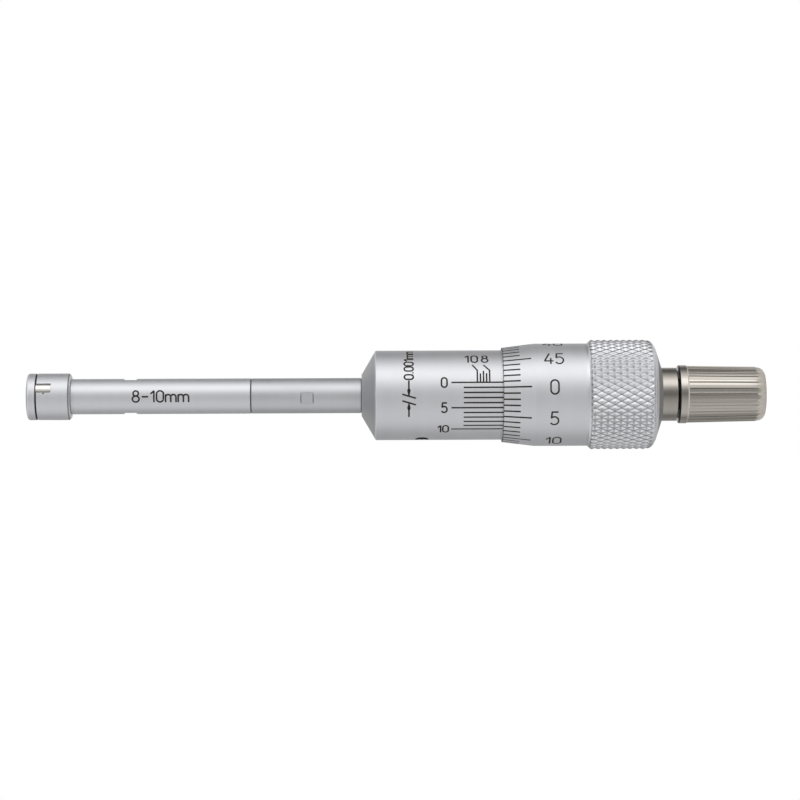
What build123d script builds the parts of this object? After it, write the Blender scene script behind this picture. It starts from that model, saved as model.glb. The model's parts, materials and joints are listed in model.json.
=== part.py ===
"""Three-point inside micrometer for bores of 8 to 10 mm.

The instrument stands on its ratchet knob, with +Z towards the measuring head. The origin is the centre of
the knob's end face. A place on the round is given by its angle from +X, towards +Y.
"""

import math
import os

from build123d import *

# Fits
running_gap = 0.05  # radial gap of a turning or sliding fit
screwed_gap = 0.03  # radial gap of pieces that are screwed or pressed together
end_gap = 0.05  # gap between faces that pass each other
overrun = 1.0  # how far a cutting shape runs past the face it cuts
small_bevel = 0.2

# Screw, cone and travel
screw_pitch = 0.5
screw_turns = 8.5
jaw_travel = 1.3
cone_slope = 0.5  # a jaw moves out by this much for each millimetre of rod travel
travel = screw_pitch * screw_turns
rod_travel = jaw_travel / cone_slope
dead_travel = travel - rod_travel

# Lengths along the axis, from the knob's end face
knob_length = 14.25
knob_gap = 0.09
neck_shown = 2.58
thimble_length = 26.2
sleeve_shown = 20.7
sleeve_cone_length = 2.31
rear_tube_length = 18.13
front_tube_length = 29.57
head_body_length = 5.58
cap_thickness = 1.54

neck_rear = knob_length + knob_gap
thimble_rear = neck_rear + neck_shown
thimble_front = thimble_rear + thimble_length
sleeve_shoulder = thimble_front + sleeve_shown
sleeve_front = sleeve_shoulder + sleeve_cone_length
tube_joint = sleeve_front + rear_tube_length
head_rear = tube_joint + front_tube_length
cap_rear = head_rear + head_body_length
cap_front = cap_rear + cap_thickness

# Ratchet knob
knob_rim_radius = 4.79
knob_rim_length = 1.5
knob_front_radius = 4.7
knob_back_radius = 4.47
knob_foot_radius = 3.6
knob_foot_rise = 1.35
knob_bevel = 0.15
flute_count = 25
flute_width = 0.68
flute_depth = 0.17
flute_start = 0.45
first_flute_angle = 3.9
screw_sink = 1.6
knob_web = 1.4
ratchet_tooth_count = 24
ratchet_root_radius = 3.75
ratchet_tip_radius = 3.3
ratchet_face_lean = 0.5  # degrees between a tooth's tip and the root behind its steep face
ratchet_floor = 9.2
ratchet_teeth_front = 12.8

# Ratchet neck, pawl and end screw
neck_radius = 4.38
neck_seat_depth = 1.6
journal_radius = 2.6
pawl_height = 11.0
pawl_radius = 0.6
pawl_tail = 0.2
pawl_lead = 0.31  # how far the nose's steep side lies from the pawl's axis
pawl_spring_length = 1.4
pawl_spring_turns = 5
pawl_wire_radius = 0.08
end_screw_radius = 0.9
end_screw_length = 6.6
end_screw_head_radius = 1.9
end_screw_recess = 0.35
end_screw_slot_width = 0.5
end_screw_slot_depth = 0.5
screw_head_room = 0.2

# Thimble
sleeve_radius = 7.35
thimble_gap = 0.07  # radial gap between the thimble's bore and the sleeve
thimble_edge_radius = 7.75
thimble_edge_bevel = 0.1
barrel_radius = 8.41
taper_length = 5.26
knurl_radius = 9.0
knurl_depth = 0.35
knurl_count = 50
knurl_rows = 10
knurl_length = 10.3
knurl_front_setback = 14.12  # from the thimble's front edge
knurl_shoulder = 0.06
core_setback = 0.25
rear_cone_radius = 4.44
rear_cone_rise = 1.1
rear_corner_radius = 7.7
rear_wall = 3.48

# Spindle, thrust ball and nuts
stud_radius = 1.5
stud_length = 5.1
seat_radius = 2.4
collar_radius = 3.9
collar_length = 1.8
thread_radius = 3.0
nose_radius = 1.6
nose_length = 1.2
ball_radius = 1.0
ball_seat_gap = 0.03
nut_clearance = 0.75
nut_tail_radius = 4.2
nut_tail_length = 3.8
nut_flange = 0.9
nut_body_length = 13.0
nut_radius = 5.0
nut_slit = 0.4
thread_runout = 2.5
adjuster_radius = 6.3
adjuster_length = 2.3
adjuster_inset = 0.3
spanner_notch_width = 1.0
spanner_notch_depth = 0.6
guide_length = 2.5
guide_margin = 0.25

# Sleeve and inner sleeve
sleeve_nose_radius = 3.4
sleeve_bore_radius = 6.2
nose_wall = 3.82
set_screw_setback = 7.52  # from the sleeve's shoulder
set_screw_angle = -168.0
set_screw_radius = 1.1
set_screw_recess = 0.4
set_screw_bite = 0.55
hex_socket = 1.1
hex_depth = 0.7

# Tubes, push rod and return spring
rear_tube_radius = 2.89
front_tube_radius = 2.9
joint_bevel = 0.15
tube_tail_radius = 2.6
tube_tail_length = 4.93
spring_bore_radius = 2.1
joint_spigot_radius = 2.2
joint_spigot_length = 3.9
spigot_end_room = 0.2
spring_seat_setback = 4.3
rod_radius = 1.5
rod_collar_radius = 1.95
rod_collar_length = 1.4
rod_guide_inset = 0.4
rod_guide_length = 6.0
rod_spring_turns = 8
rod_wire_radius = 0.2
flat_length = 1.95
flat_depth = 0.2
front_flats_setback = 9.73  # from the tube's front end, as the next
rear_flats_setback = 9.21
front_flats_angle = 0.0
rear_flats_angle = -99.5

# Measuring head and jaws
head_radius = 3.83
head_front_round = 0.4
head_rear_round = 0.3
seam_bevel = 0.12
head_spigot_radius = 2.7
head_spigot_length = 1.57
chamber_radius = 2.2
cone_head_radius = 2.15
cone_tip_radius = 0.45
cone_land = 0.3
slot_width = 1.65
slot_length = 2.53
first_jaw_angle = -67.5
jaw_count = 3
jaw_tip_radius = 3.7
jaw_shoulder_radius = 3.5
jaw_shoulder_fall = 0.14
jaw_side_gap = 0.035
jaw_pad_width = 0.95
jaw_pad_crown = 0.06
jaw_foot_height = 0.72
jaw_heel_radius = 0.62
contact_gap = 0.05
notch_radius = 0.28
notch_height = 1.22
notch_depth = 0.9
tip_room = 0.15
ring_radius = 1.15
ring_wire_radius = 0.12
cap_screw_circle = 2.95
cap_screw_radius = 0.3
cap_screw_head_radius = 0.48
cap_screw_length = 3.0
driver_slot_width = 0.16
driver_slot_depth = 0.15

# Engraved scale: widths and depths of the grooves, and their ends from the thimble's front edge
line_width = 0.15
line_depth = 0.04
thimble_divisions = 50
short_line = 2.7
long_line = 4.5
thimble_zero_angle = -80.2
vernier_divisions = 10
vernier_zero_angle = -73.7
vernier_short_line = 6.4
vernier_long_line = 8.4
vernier_tail = 1.5
tick_first = 2.22
tick_pitch = 0.5
tick_arcs = (17.2, 12.2, 15.7, 12.2, 17.2)


def section(*points):
    """A closed outline of (radius, height) points, ready to be turned about the axis."""
    with BuildSketch(Plane.XZ) as outline:
        with BuildLine():
            Polyline(*points, close=True)
        make_face()
    return outline.sketch


def tube_section(inner, outer, low, high):
    """The section of a plain ring or bush."""
    return section((inner, low), (outer, low), (outer, high), (inner, high))


def direction(angle):
    """The unit vector away from the axis at an angle."""
    return (math.cos(math.radians(angle)), math.sin(math.radians(angle)), 0)


def side_plane(angle):
    """The plane through the axis whose x runs outwards at an angle and whose y is +Z."""
    x_dir = direction(angle)
    return Plane(origin=(0, 0, 0), x_dir=x_dir, z_dir=(x_dir[1], -x_dir[0], 0))


def level_plane(angle, height):
    """A level plane whose x runs outwards at an angle."""
    return Plane(origin=(0, 0, height), x_dir=direction(angle), z_dir=(0, 0, 1))


def facing_plane(angle, height, distance):
    """The plane square to a radius, at a distance from the axis, facing outwards."""
    x_dir = direction(angle)
    origin = (x_dir[0] * distance, x_dir[1] * distance, height)
    return Plane(origin=origin, x_dir=(-x_dir[1], x_dir[0], 0), z_dir=x_dir)


def coil(start, axis, mean_radius, wire_radius, length, turns):
    """A spring of round wire, coiled from start along axis."""
    pitch = (length - 2 * wire_radius) / turns
    first = Vector(*start) + Vector(*axis) * wire_radius
    with BuildPart() as spring:
        with BuildLine() as path:
            Helix(pitch, length - 2 * wire_radius, mean_radius, center=first, direction=axis)
        with BuildSketch(Plane(origin=path.line @ 0, z_dir=path.line % 0)):
            Circle(wire_radius)
        sweep(is_frenet=True)
    return spring.part


def knurled_blank(rear, front):
    """A closed polyhedron of raised diamonds, whose crests and valleys alternate over rows and columns.

    Its two end rows lie at the valley's radius, so the diamonds fade out there."""
    columns = 2 * knurl_count
    rise = (front - rear) / knurl_rows

    def corner(column, row):
        crest = (column + row) % 2 == 1 and 0 < row < knurl_rows
        radius = knurl_radius if crest else knurl_radius - knurl_depth
        turn = 2 * math.pi * (column % columns) / columns
        return Vector(radius * math.cos(turn), radius * math.sin(turn), rear + rise * row)

    faces = []
    for row in range(knurl_rows):
        for column in range(columns):
            a, b = corner(column, row), corner(column + 1, row)
            d, c = corner(column, row + 1), corner(column + 1, row + 1)
            pair = ((a, b, c), (a, c, d)) if (column + row) % 2 == 0 else ((a, b, d), (b, c, d))
            faces += [Face(Wire.make_polygon(triangle)) for triangle in pair]
    for row in (0, knurl_rows):
        faces.append(Face(Wire.make_polygon([corner(column, row) for column in range(columns)])))
    return Solid(Shell(faces))


def write(part, name):
    """Label a finished piece and write its STEP file."""
    part.label = name
    export_step(part, f"parts/{name}.step")


os.makedirs("parts", exist_ok=True)

# Places that follow from the driving dimensions
wall_front = thimble_rear + rear_wall
collar_front = wall_front + collar_length
nut_rear = collar_front + travel + nut_clearance
sleeve_rear = nut_rear + nut_tail_length
nut_front = sleeve_rear + nut_body_length
thread_front = nut_front + thread_runout
guide_rear = thread_front + travel + guide_margin
guide_front = guide_rear + guide_length
spindle_front = guide_front + nose_length
ball_centre = spindle_front - ball_seat_gap
rod_rear = ball_centre + ball_radius + dead_travel
nose_rear = sleeve_shoulder - nose_wall
tail_rear = sleeve_front - tube_tail_length
rod_guide_rear = tail_rear + rod_guide_inset
rod_guide_front = rod_guide_rear + rod_guide_length
spring_seat = tube_joint - spring_seat_setback
slot_rear = cap_rear - slot_length
cone_tip = slot_rear + jaw_foot_height
cone_rear = cone_tip - (cone_head_radius - cone_tip_radius) / cone_slope
knurl_front = thimble_front - knurl_front_setback
knurl_rear = knurl_front - knurl_length
journal_end = screw_sink + knob_web + end_gap
jaw_angles = [first_jaw_angle + 360 / jaw_count * k for k in range(jaw_count)]
vernier_range = -360 * (vernier_divisions - 1) / thimble_divisions
set_screw_height = sleeve_shoulder - set_screw_setback
screw_angles = [angle + 180 / jaw_count for angle in jaw_angles]

# Ratchet knob: fluted cap with a ring of one-way teeth inside
knob_taper = math.degrees(math.atan2(knob_front_radius - knob_back_radius, knob_length))
flute_front = knob_length - knob_rim_length
flute_middle = (flute_start + flute_front) / 2
flute_radius = (flute_width**2 / 4 + flute_depth**2) / (2 * flute_depth)
flute_circle = (knob_front_radius + knob_back_radius) / 2 + flute_radius - flute_depth
with BuildPart() as ratchet_knob:
    with BuildSketch(Plane.XZ):
        with BuildLine():
            Line((0, 0), (knob_foot_radius, 0))
            TangentArc((knob_back_radius, knob_foot_rise), (knob_foot_radius, 0), tangent=(0, -1))
            Polyline(
                (knob_back_radius, knob_foot_rise),
                (knob_front_radius, flute_front),
                (knob_rim_radius, flute_front + knob_bevel),
                (knob_rim_radius, knob_length - knob_bevel),
                (knob_rim_radius - knob_bevel, knob_length),
                (0, knob_length),
                (0, 0),
            )
        make_face()
    revolve(axis=Axis.Z)
    with Locations((0, 0, flute_middle)):
        with PolarLocations(flute_circle, flute_count, first_flute_angle):
            Cylinder(
                flute_radius,
                flute_front - flute_start,
                rotation=(0, knob_taper, 0),
                mode=Mode.SUBTRACT,
            )
    revolve(
        section(
            (0, 0),
            (end_screw_head_radius + screw_head_room, 0),
            (end_screw_head_radius + screw_head_room, screw_sink),
            (end_screw_radius + 2 * running_gap, screw_sink),
            (end_screw_radius + 2 * running_gap, screw_sink + knob_web),
            (journal_radius + running_gap, screw_sink + knob_web),
            (journal_radius + running_gap, knob_length),
            (0, knob_length),
        ),
        axis=Axis.Z,
        mode=Mode.SUBTRACT,
    )
    with BuildSketch(Plane.XY.offset(ratchet_floor)):
        with BuildLine():
            rim = []
            for k in range(ratchet_tooth_count):
                tip = direction(360 / ratchet_tooth_count * (k - 0.5))
                root = direction(360 / ratchet_tooth_count * (k + 0.5) - ratchet_face_lean)
                rim += [
                    (tip[0] * ratchet_tip_radius, tip[1] * ratchet_tip_radius),
                    (root[0] * ratchet_root_radius, root[1] * ratchet_root_radius),
                ]
            Polyline(*rim, close=True)
        make_face()
    extrude(amount=ratchet_teeth_front - ratchet_floor, mode=Mode.SUBTRACT)
    mouth = tube_section(0, ratchet_root_radius, ratchet_teeth_front, knob_length)
    revolve(mouth, axis=Axis.Z, mode=Mode.SUBTRACT)
write(ratchet_knob.part, "ratchet_knob")

# Ratchet neck: flange seated in the thimble, journal for the knob, cross hole for the pawl
neck_seat = thimble_rear + neck_seat_depth
pawl_floor = -(pawl_tail + pawl_spring_length)
end_screw_front = end_screw_recess + end_screw_length
with BuildPart() as ratchet_neck:
    revolve(
        section(
            (0, journal_end),
            (journal_radius, journal_end),
            (journal_radius, neck_rear),
            (neck_radius, neck_rear),
            (neck_radius, neck_seat),
            (0, neck_seat),
        ),
        axis=Axis.Z,
    )
    screw_hole = tube_section(0, end_screw_radius + screwed_gap, journal_end, end_screw_front + end_gap)
    revolve(screw_hole, axis=Axis.Z, mode=Mode.SUBTRACT)
    stud_hole = tube_section(0, stud_radius + screwed_gap, neck_seat - stud_length - end_gap, neck_seat)
    revolve(stud_hole, axis=Axis.Z, mode=Mode.SUBTRACT)
    with BuildSketch(facing_plane(0, pawl_height, pawl_floor)):
        Circle(pawl_radius + running_gap)
    extrude(amount=journal_radius + overrun - pawl_floor, mode=Mode.SUBTRACT)
write(ratchet_neck.part, "ratchet_neck")

# Pawl: sprung pin with a one-way nose in a gap between two teeth
nose_tip = ratchet_root_radius - 3 * running_gap
nose_drop = ratchet_root_radius - ratchet_tip_radius
with BuildPart() as ratchet_pawl:
    with BuildSketch(facing_plane(0, pawl_height, -pawl_tail)):
        Circle(pawl_radius)
    extrude(amount=nose_tip + pawl_tail)
    with BuildSketch(Plane.XY.offset(pawl_height - pawl_radius)):
        with BuildLine():
            Polyline(
                (-pawl_tail, -pawl_radius),
                (nose_tip - nose_drop, -pawl_radius),
                (nose_tip, pawl_lead),
                (ratchet_tip_radius - 2 * running_gap, pawl_lead),
                (ratchet_tip_radius - 4 * running_gap, pawl_radius),
                (-pawl_tail, pawl_radius),
                close=True,
            )
        make_face()
    extrude(amount=2 * pawl_radius, mode=Mode.INTERSECT)
write(ratchet_pawl.part, "ratchet_pawl")

pawl_spring = coil(
    (pawl_floor, 0, pawl_height),
    (1, 0, 0),
    pawl_radius - 2 * pawl_wire_radius,
    pawl_wire_radius,
    pawl_spring_length,
    pawl_spring_turns,
)
write(pawl_spring, "pawl_spring")

# Screw that holds the knob on its journal
with BuildPart() as ratchet_screw:
    revolve(
        section(
            (0, end_screw_recess),
            (end_screw_head_radius - small_bevel, end_screw_recess),
            (end_screw_head_radius, end_screw_recess + small_bevel),
            (end_screw_head_radius, screw_sink - end_gap),
            (end_screw_radius, screw_sink - end_gap),
            (end_screw_radius, end_screw_front),
            (0, end_screw_front),
        ),
        axis=Axis.Z,
    )
    with Locations((0, 0, end_screw_recess)):
        Box(2 * end_screw_head_radius, end_screw_slot_width, 2 * end_screw_slot_depth, mode=Mode.SUBTRACT)
write(ratchet_screw.part, "ratchet_screw")

# Thimble: tapered edge, plain barrel, diamond knurl and rear wall
line_taper = math.degrees(math.atan2(barrel_radius - thimble_edge_radius, taper_length))
line_slope = (barrel_radius - thimble_edge_radius) / taper_length
with BuildPart() as knurl_ring:
    add(knurled_blank(knurl_rear, knurl_front))
    hollow = tube_section(0, (sleeve_radius + barrel_radius) / 2, knurl_rear - overrun, knurl_front + overrun)
    revolve(hollow, axis=Axis.Z, mode=Mode.SUBTRACT)
valley_radius = knurl_radius - knurl_depth
shoulder_radius = valley_radius + knurl_shoulder
core_radius = valley_radius - core_setback
with BuildPart() as thimble:
    with BuildSketch(Plane.XZ):
        with BuildLine():
            Polyline(
                (neck_radius + end_gap, thimble_rear),
                (rear_cone_radius, thimble_rear),
                (rear_corner_radius, thimble_rear + rear_cone_rise),
            )
            TangentArc(
                (rear_corner_radius, thimble_rear + rear_cone_rise),
                (shoulder_radius, knurl_rear),
                tangent=(rear_corner_radius - rear_cone_radius, rear_cone_rise),
            )
            Polyline(
                (shoulder_radius, knurl_rear),
                (core_radius, knurl_rear),
                (core_radius, knurl_front),
                (shoulder_radius, knurl_front),
                (barrel_radius, knurl_front + shoulder_radius - barrel_radius),
                (barrel_radius, thimble_front - taper_length),
                (thimble_edge_radius + line_slope * thimble_edge_bevel, thimble_front - thimble_edge_bevel),
                (thimble_edge_radius - thimble_edge_bevel, thimble_front),
                (sleeve_radius + thimble_gap, thimble_front),
                (sleeve_radius + thimble_gap, wall_front),
                (seat_radius + screwed_gap, wall_front),
                (seat_radius + screwed_gap, neck_seat),
                (neck_radius + end_gap, neck_seat),
                (neck_radius + end_gap, thimble_rear),
            )
        make_face()
    revolve(axis=Axis.Z)
    for count, length in ((thimble_divisions, short_line), (thimble_divisions // 5, long_line)):
        with Locations((0, 0, thimble_front - length / 2)):
            with PolarLocations(thimble_edge_radius + line_slope * length / 2, count, thimble_zero_angle):
                Box(2 * line_depth, line_width, length, rotation=(0, -line_taper, 0), mode=Mode.SUBTRACT)
    add(knurl_ring.part)
write(thimble.part, "thimble")

# Spindle: stud, seat, collar, screw, journal and ball cup
with BuildPart() as spindle:
    revolve(
        section(
            (0, neck_seat - stud_length),
            (stud_radius - small_bevel, neck_seat - stud_length),
            (stud_radius, neck_seat - stud_length + small_bevel),
            (stud_radius, neck_seat),
            (seat_radius, neck_seat),
            (seat_radius, wall_front),
            (collar_radius, wall_front),
            (collar_radius, collar_front),
            (thread_radius, collar_front),
            (thread_radius, thread_front),
            (journal_radius, thread_front),
            (journal_radius, guide_front + guide_margin),
            (nose_radius, guide_front + guide_margin + journal_radius - nose_radius),
            (nose_radius, spindle_front),
            (0, spindle_front),
        ),
        axis=Axis.Z,
    )
    with Locations((0, 0, ball_centre)):
        Sphere(ball_radius + ball_seat_gap, mode=Mode.SUBTRACT)
write(spindle.part, "spindle")

with BuildPart() as thrust_ball:
    with Locations((0, 0, ball_centre)):
        Sphere(ball_radius)
write(thrust_ball.part, "thrust_ball")

# Spindle nut: pressed in the inner sleeve, with a slit tail that the adjusting nut closes
with BuildPart() as spindle_nut:
    revolve(
        section(
            (thread_radius + running_gap, nut_rear),
            (nut_tail_radius, nut_rear),
            (nut_tail_radius, sleeve_rear - nut_flange),
            (sleeve_bore_radius, sleeve_rear - nut_flange),
            (sleeve_bore_radius, sleeve_rear),
            (nut_radius, sleeve_rear),
            (nut_radius, nut_front),
            (thread_radius + running_gap, nut_front),
        ),
        axis=Axis.Z,
    )
    with PolarLocations(nut_tail_radius, 3):
        with Locations((0, 0, nut_rear)):
            Box(nut_tail_radius, nut_slit, 2 * (nut_tail_length - nut_flange), mode=Mode.SUBTRACT)
write(spindle_nut.part, "spindle_nut")

with BuildPart() as adjusting_nut:
    revolve(
        tube_section(
            nut_tail_radius + screwed_gap,
            adjuster_radius,
            nut_rear + adjuster_inset,
            nut_rear + adjuster_inset + adjuster_length,
        ),
        axis=Axis.Z,
    )
    with PolarLocations(adjuster_radius, 4):
        with Locations((0, 0, nut_rear + adjuster_inset)):
            Box(2 * spanner_notch_depth, spanner_notch_width, adjuster_length, mode=Mode.SUBTRACT)
write(adjusting_nut.part, "adjusting_nut")

# Inner sleeve: carries the nut at the rear and guides the spindle ahead of it
screw_dimple = sleeve_bore_radius - set_screw_bite
with BuildPart() as inner_sleeve:
    revolve(
        section(
            (nut_radius, sleeve_rear),
            (sleeve_bore_radius, sleeve_rear),
            (sleeve_bore_radius, nose_rear),
            (nut_radius, nose_rear),
            (nut_radius, guide_front),
            (journal_radius + running_gap, guide_front),
            (journal_radius + running_gap, guide_rear),
            (nut_radius, guide_rear),
        ),
        axis=Axis.Z,
    )
    with BuildSketch(facing_plane(set_screw_angle, set_screw_height, screw_dimple)):
        Circle(set_screw_radius + screwed_gap)
    extrude(amount=set_screw_bite + overrun, mode=Mode.SUBTRACT)
write(inner_sleeve.part, "inner_sleeve")

# Sleeve: the fixed barrel with the main scale and the vernier
with BuildPart() as sleeve:
    revolve(
        section(
            (sleeve_bore_radius, sleeve_rear),
            (sleeve_radius - small_bevel, sleeve_rear),
            (sleeve_radius, sleeve_rear + small_bevel),
            (sleeve_radius, sleeve_shoulder),
            (sleeve_nose_radius, sleeve_front),
            (tube_tail_radius, sleeve_front),
            (tube_tail_radius, nose_rear),
            (sleeve_bore_radius, nose_rear),
        ),
        axis=Axis.Z,
    )
    with BuildSketch(facing_plane(set_screw_angle, set_screw_height, screw_dimple)):
        Circle(set_screw_radius + screwed_gap)
    extrude(amount=sleeve_radius, mode=Mode.SUBTRACT)
    for count, reach in ((vernier_divisions + 1, vernier_short_line), (3, vernier_long_line)):
        with Locations((0, 0, thimble_front + (reach - vernier_tail) / 2)):
            with PolarLocations(sleeve_radius, count, vernier_zero_angle, vernier_range, endpoint=True):
                Box(2 * line_depth, line_width, reach + vernier_tail, mode=Mode.SUBTRACT)
    for k, arc in enumerate(tick_arcs):
        height = thimble_front + tick_first + tick_pitch * k
        with BuildSketch(side_plane(vernier_zero_angle)):
            with Locations((sleeve_radius, height)):
                Rectangle(2 * line_depth, line_width)
        revolve(axis=Axis.Z, revolution_arc=arc, mode=Mode.SUBTRACT)
write(sleeve.part, "sleeve")

with BuildPart() as set_screw:
    with BuildSketch(facing_plane(set_screw_angle, set_screw_height, screw_dimple)):
        Circle(set_screw_radius)
    extrude(amount=sleeve_radius - set_screw_recess - screw_dimple)
    with BuildSketch(facing_plane(set_screw_angle, set_screw_height, sleeve_radius - set_screw_recess)):
        RegularPolygon(hex_socket / 2, 6)
    extrude(amount=-hex_depth, mode=Mode.SUBTRACT)
write(set_screw.part, "set_screw")

# Rear tube: screwed into the sleeve's nose, with a spigot for the front tube
with BuildPart() as rear_tube:
    revolve(
        section(
            (spring_bore_radius, tail_rear),
            (tube_tail_radius - screwed_gap, tail_rear),
            (tube_tail_radius - screwed_gap, sleeve_front),
            (rear_tube_radius, sleeve_front),
            (rear_tube_radius, tube_joint - joint_bevel),
            (rear_tube_radius - joint_bevel, tube_joint),
            (joint_spigot_radius, tube_joint),
            (joint_spigot_radius, tube_joint + joint_spigot_length),
            (rod_radius + running_gap, tube_joint + joint_spigot_length),
            (rod_radius + running_gap, spring_seat),
            (spring_bore_radius, spring_seat),
        ),
        axis=Axis.Z,
    )
    for side in (0, 180):
        height = tube_joint - rear_flats_setback
        flat = facing_plane(rear_flats_angle + side, height, rear_tube_radius - flat_depth)
        with BuildSketch(flat):
            Rectangle(2 * rear_tube_radius, flat_length)
        extrude(amount=overrun, mode=Mode.SUBTRACT)
write(rear_tube.part, "rear_tube")

# Front tube: screwed to the rear tube and into the measuring head
bore_step = cone_rear - 2 * cone_land - chamber_radius + rod_radius
with BuildPart() as front_tube:
    revolve(
        section(
            (joint_spigot_radius + screwed_gap, tube_joint),
            (front_tube_radius - joint_bevel, tube_joint),
            (front_tube_radius, tube_joint + joint_bevel),
            (front_tube_radius, head_rear),
            (head_spigot_radius, head_rear),
            (head_spigot_radius, head_rear + head_spigot_length),
            (chamber_radius, head_rear + head_spigot_length),
            (chamber_radius, bore_step + chamber_radius - rod_radius - running_gap),
            (rod_radius + running_gap, bore_step),
            (rod_radius + running_gap, tube_joint + joint_spigot_length + spigot_end_room),
            (joint_spigot_radius + screwed_gap, tube_joint + joint_spigot_length + spigot_end_room),
        ),
        axis=Axis.Z,
    )
    for side in (0, 180):
        height = head_rear - front_flats_setback
        flat = facing_plane(front_flats_angle + side, height, front_tube_radius - flat_depth)
        with BuildSketch(flat):
            Rectangle(2 * front_tube_radius, flat_length)
        extrude(amount=overrun, mode=Mode.SUBTRACT)
write(front_tube.part, "front_tube")

with BuildPart() as rod_guide:
    bush = tube_section(rod_radius + running_gap, spring_bore_radius, rod_guide_rear, rod_guide_front)
    revolve(bush, axis=Axis.Z)
write(rod_guide.part, "rod_guide")

# Push rod: spring collar near the rear and the hardened cone in the head
collar_rear = rod_guide_front + end_gap
with BuildPart() as push_rod:
    revolve(
        section(
            (0, rod_rear),
            (rod_radius - small_bevel, rod_rear),
            (rod_radius, rod_rear + small_bevel),
            (rod_radius, collar_rear),
            (rod_collar_radius, collar_rear),
            (rod_collar_radius, collar_rear + rod_collar_length),
            (rod_radius, collar_rear + rod_collar_length),
            (rod_radius, cone_rear - cone_land),
            (cone_head_radius, cone_rear - cone_land),
            (cone_head_radius, cone_rear),
            (cone_tip_radius, cone_tip),
            (0, cone_tip),
        ),
        axis=Axis.Z,
    )
write(push_rod.part, "push_rod")

rod_spring_rear = collar_rear + rod_collar_length
rod_spring = coil(
    (0, 0, rod_spring_rear),
    (0, 0, 1),
    (rod_radius + spring_bore_radius) / 2,
    rod_wire_radius,
    spring_seat - rod_spring_rear,
    rod_spring_turns,
)
write(rod_spring, "rod_spring")

# Measuring head: body with three jaw slots round a chamber for the cone
with BuildPart() as head_body:
    with BuildSketch(Plane.XZ):
        with BuildLine():
            Line((head_spigot_radius + screwed_gap, head_rear), (head_radius - head_rear_round, head_rear))
            RadiusArc(
                (head_radius - head_rear_round, head_rear),
                (head_radius, head_rear + head_rear_round),
                -head_rear_round,
            )
            Polyline(
                (head_radius, head_rear + head_rear_round),
                (head_radius, cap_rear - seam_bevel),
                (head_radius - seam_bevel, cap_rear),
                (chamber_radius, cap_rear),
                (chamber_radius, head_rear + head_spigot_length),
                (head_spigot_radius + screwed_gap, head_rear + head_spigot_length),
                (head_spigot_radius + screwed_gap, head_rear),
            )
        make_face()
    revolve(axis=Axis.Z)
    for angle in jaw_angles:
        with BuildSketch(level_plane(angle, slot_rear)):
            with Locations((head_radius, 0)):
                Rectangle(2 * head_radius, slot_width)
        extrude(amount=slot_length, mode=Mode.SUBTRACT)
        with BuildSketch(facing_plane(angle, slot_rear + notch_height, head_radius - notch_depth)):
            with Locations((-slot_width / 2, 0)):
                Circle(notch_radius)
        extrude(amount=2 * notch_depth, mode=Mode.SUBTRACT)
    for angle in screw_angles:
        with BuildSketch(level_plane(angle, cap_rear)):
            with Locations((cap_screw_circle, 0)):
                Circle(cap_screw_radius + screwed_gap)
        extrude(amount=-(cap_screw_length - cap_thickness + end_gap), mode=Mode.SUBTRACT)
    ring_reach = ring_radius + jaw_travel + ring_wire_radius + end_gap
    ring_recess = tube_section(0, ring_reach, cap_rear - 2 * (ring_wire_radius + end_gap), cap_rear)
    revolve(ring_recess, axis=Axis.Z, mode=Mode.SUBTRACT)
write(head_body.part, "head_body")

# End cap, with a blind bore for the cone's tip, and its three screws
tip_bore = cone_tip_radius + (cone_tip + rod_travel - cap_rear) * cone_slope + tip_room
with BuildPart() as end_cap:
    with BuildSketch(Plane.XZ):
        with BuildLine():
            Polyline(
                (tip_bore, cap_rear),
                (head_radius - seam_bevel, cap_rear),
                (head_radius, cap_rear + seam_bevel),
                (head_radius, cap_front - head_front_round),
            )
            RadiusArc(
                (head_radius, cap_front - head_front_round),
                (head_radius - head_front_round, cap_front),
                -head_front_round,
            )
            Polyline(
                (head_radius - head_front_round, cap_front),
                (0, cap_front),
                (0, cone_tip + rod_travel + tip_room),
                (tip_bore, cone_tip + rod_travel + tip_room),
                (tip_bore, cap_rear),
            )
        make_face()
    revolve(axis=Axis.Z)
    with Locations((0, 0, cap_front)):
        with PolarLocations(cap_screw_circle, jaw_count, start_angle=screw_angles[0]):
            CounterSinkHole(
                cap_screw_radius + screwed_gap,
                cap_screw_head_radius + screwed_gap,
                cap_thickness,
                counter_sink_angle=90,
            )
write(end_cap.part, "end_cap")

shank_side = cap_screw_circle + cap_screw_radius
with BuildPart() as cap_screws:
    for angle in screw_angles:
        centre = Vector(*direction(angle)) * cap_screw_circle
        with BuildSketch(side_plane(angle)):
            with BuildLine():
                Polyline(
                    (cap_screw_circle, cap_front),
                    (cap_screw_circle + cap_screw_head_radius, cap_front),
                    (shank_side, cap_front - cap_screw_head_radius + cap_screw_radius),
                    (shank_side, cap_front - cap_screw_length),
                    (cap_screw_circle, cap_front - cap_screw_length),
                    close=True,
                )
            make_face()
        revolve(axis=Axis(centre, (0, 0, 1)))
        with BuildSketch(level_plane(angle, cap_front)):
            with Locations((cap_screw_circle, 0)):
                Rectangle(driver_slot_width, 2 * cap_screw_head_radius)
        extrude(amount=-driver_slot_depth, mode=Mode.SUBTRACT)
write(cap_screws.part, "cap_screws")

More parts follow.
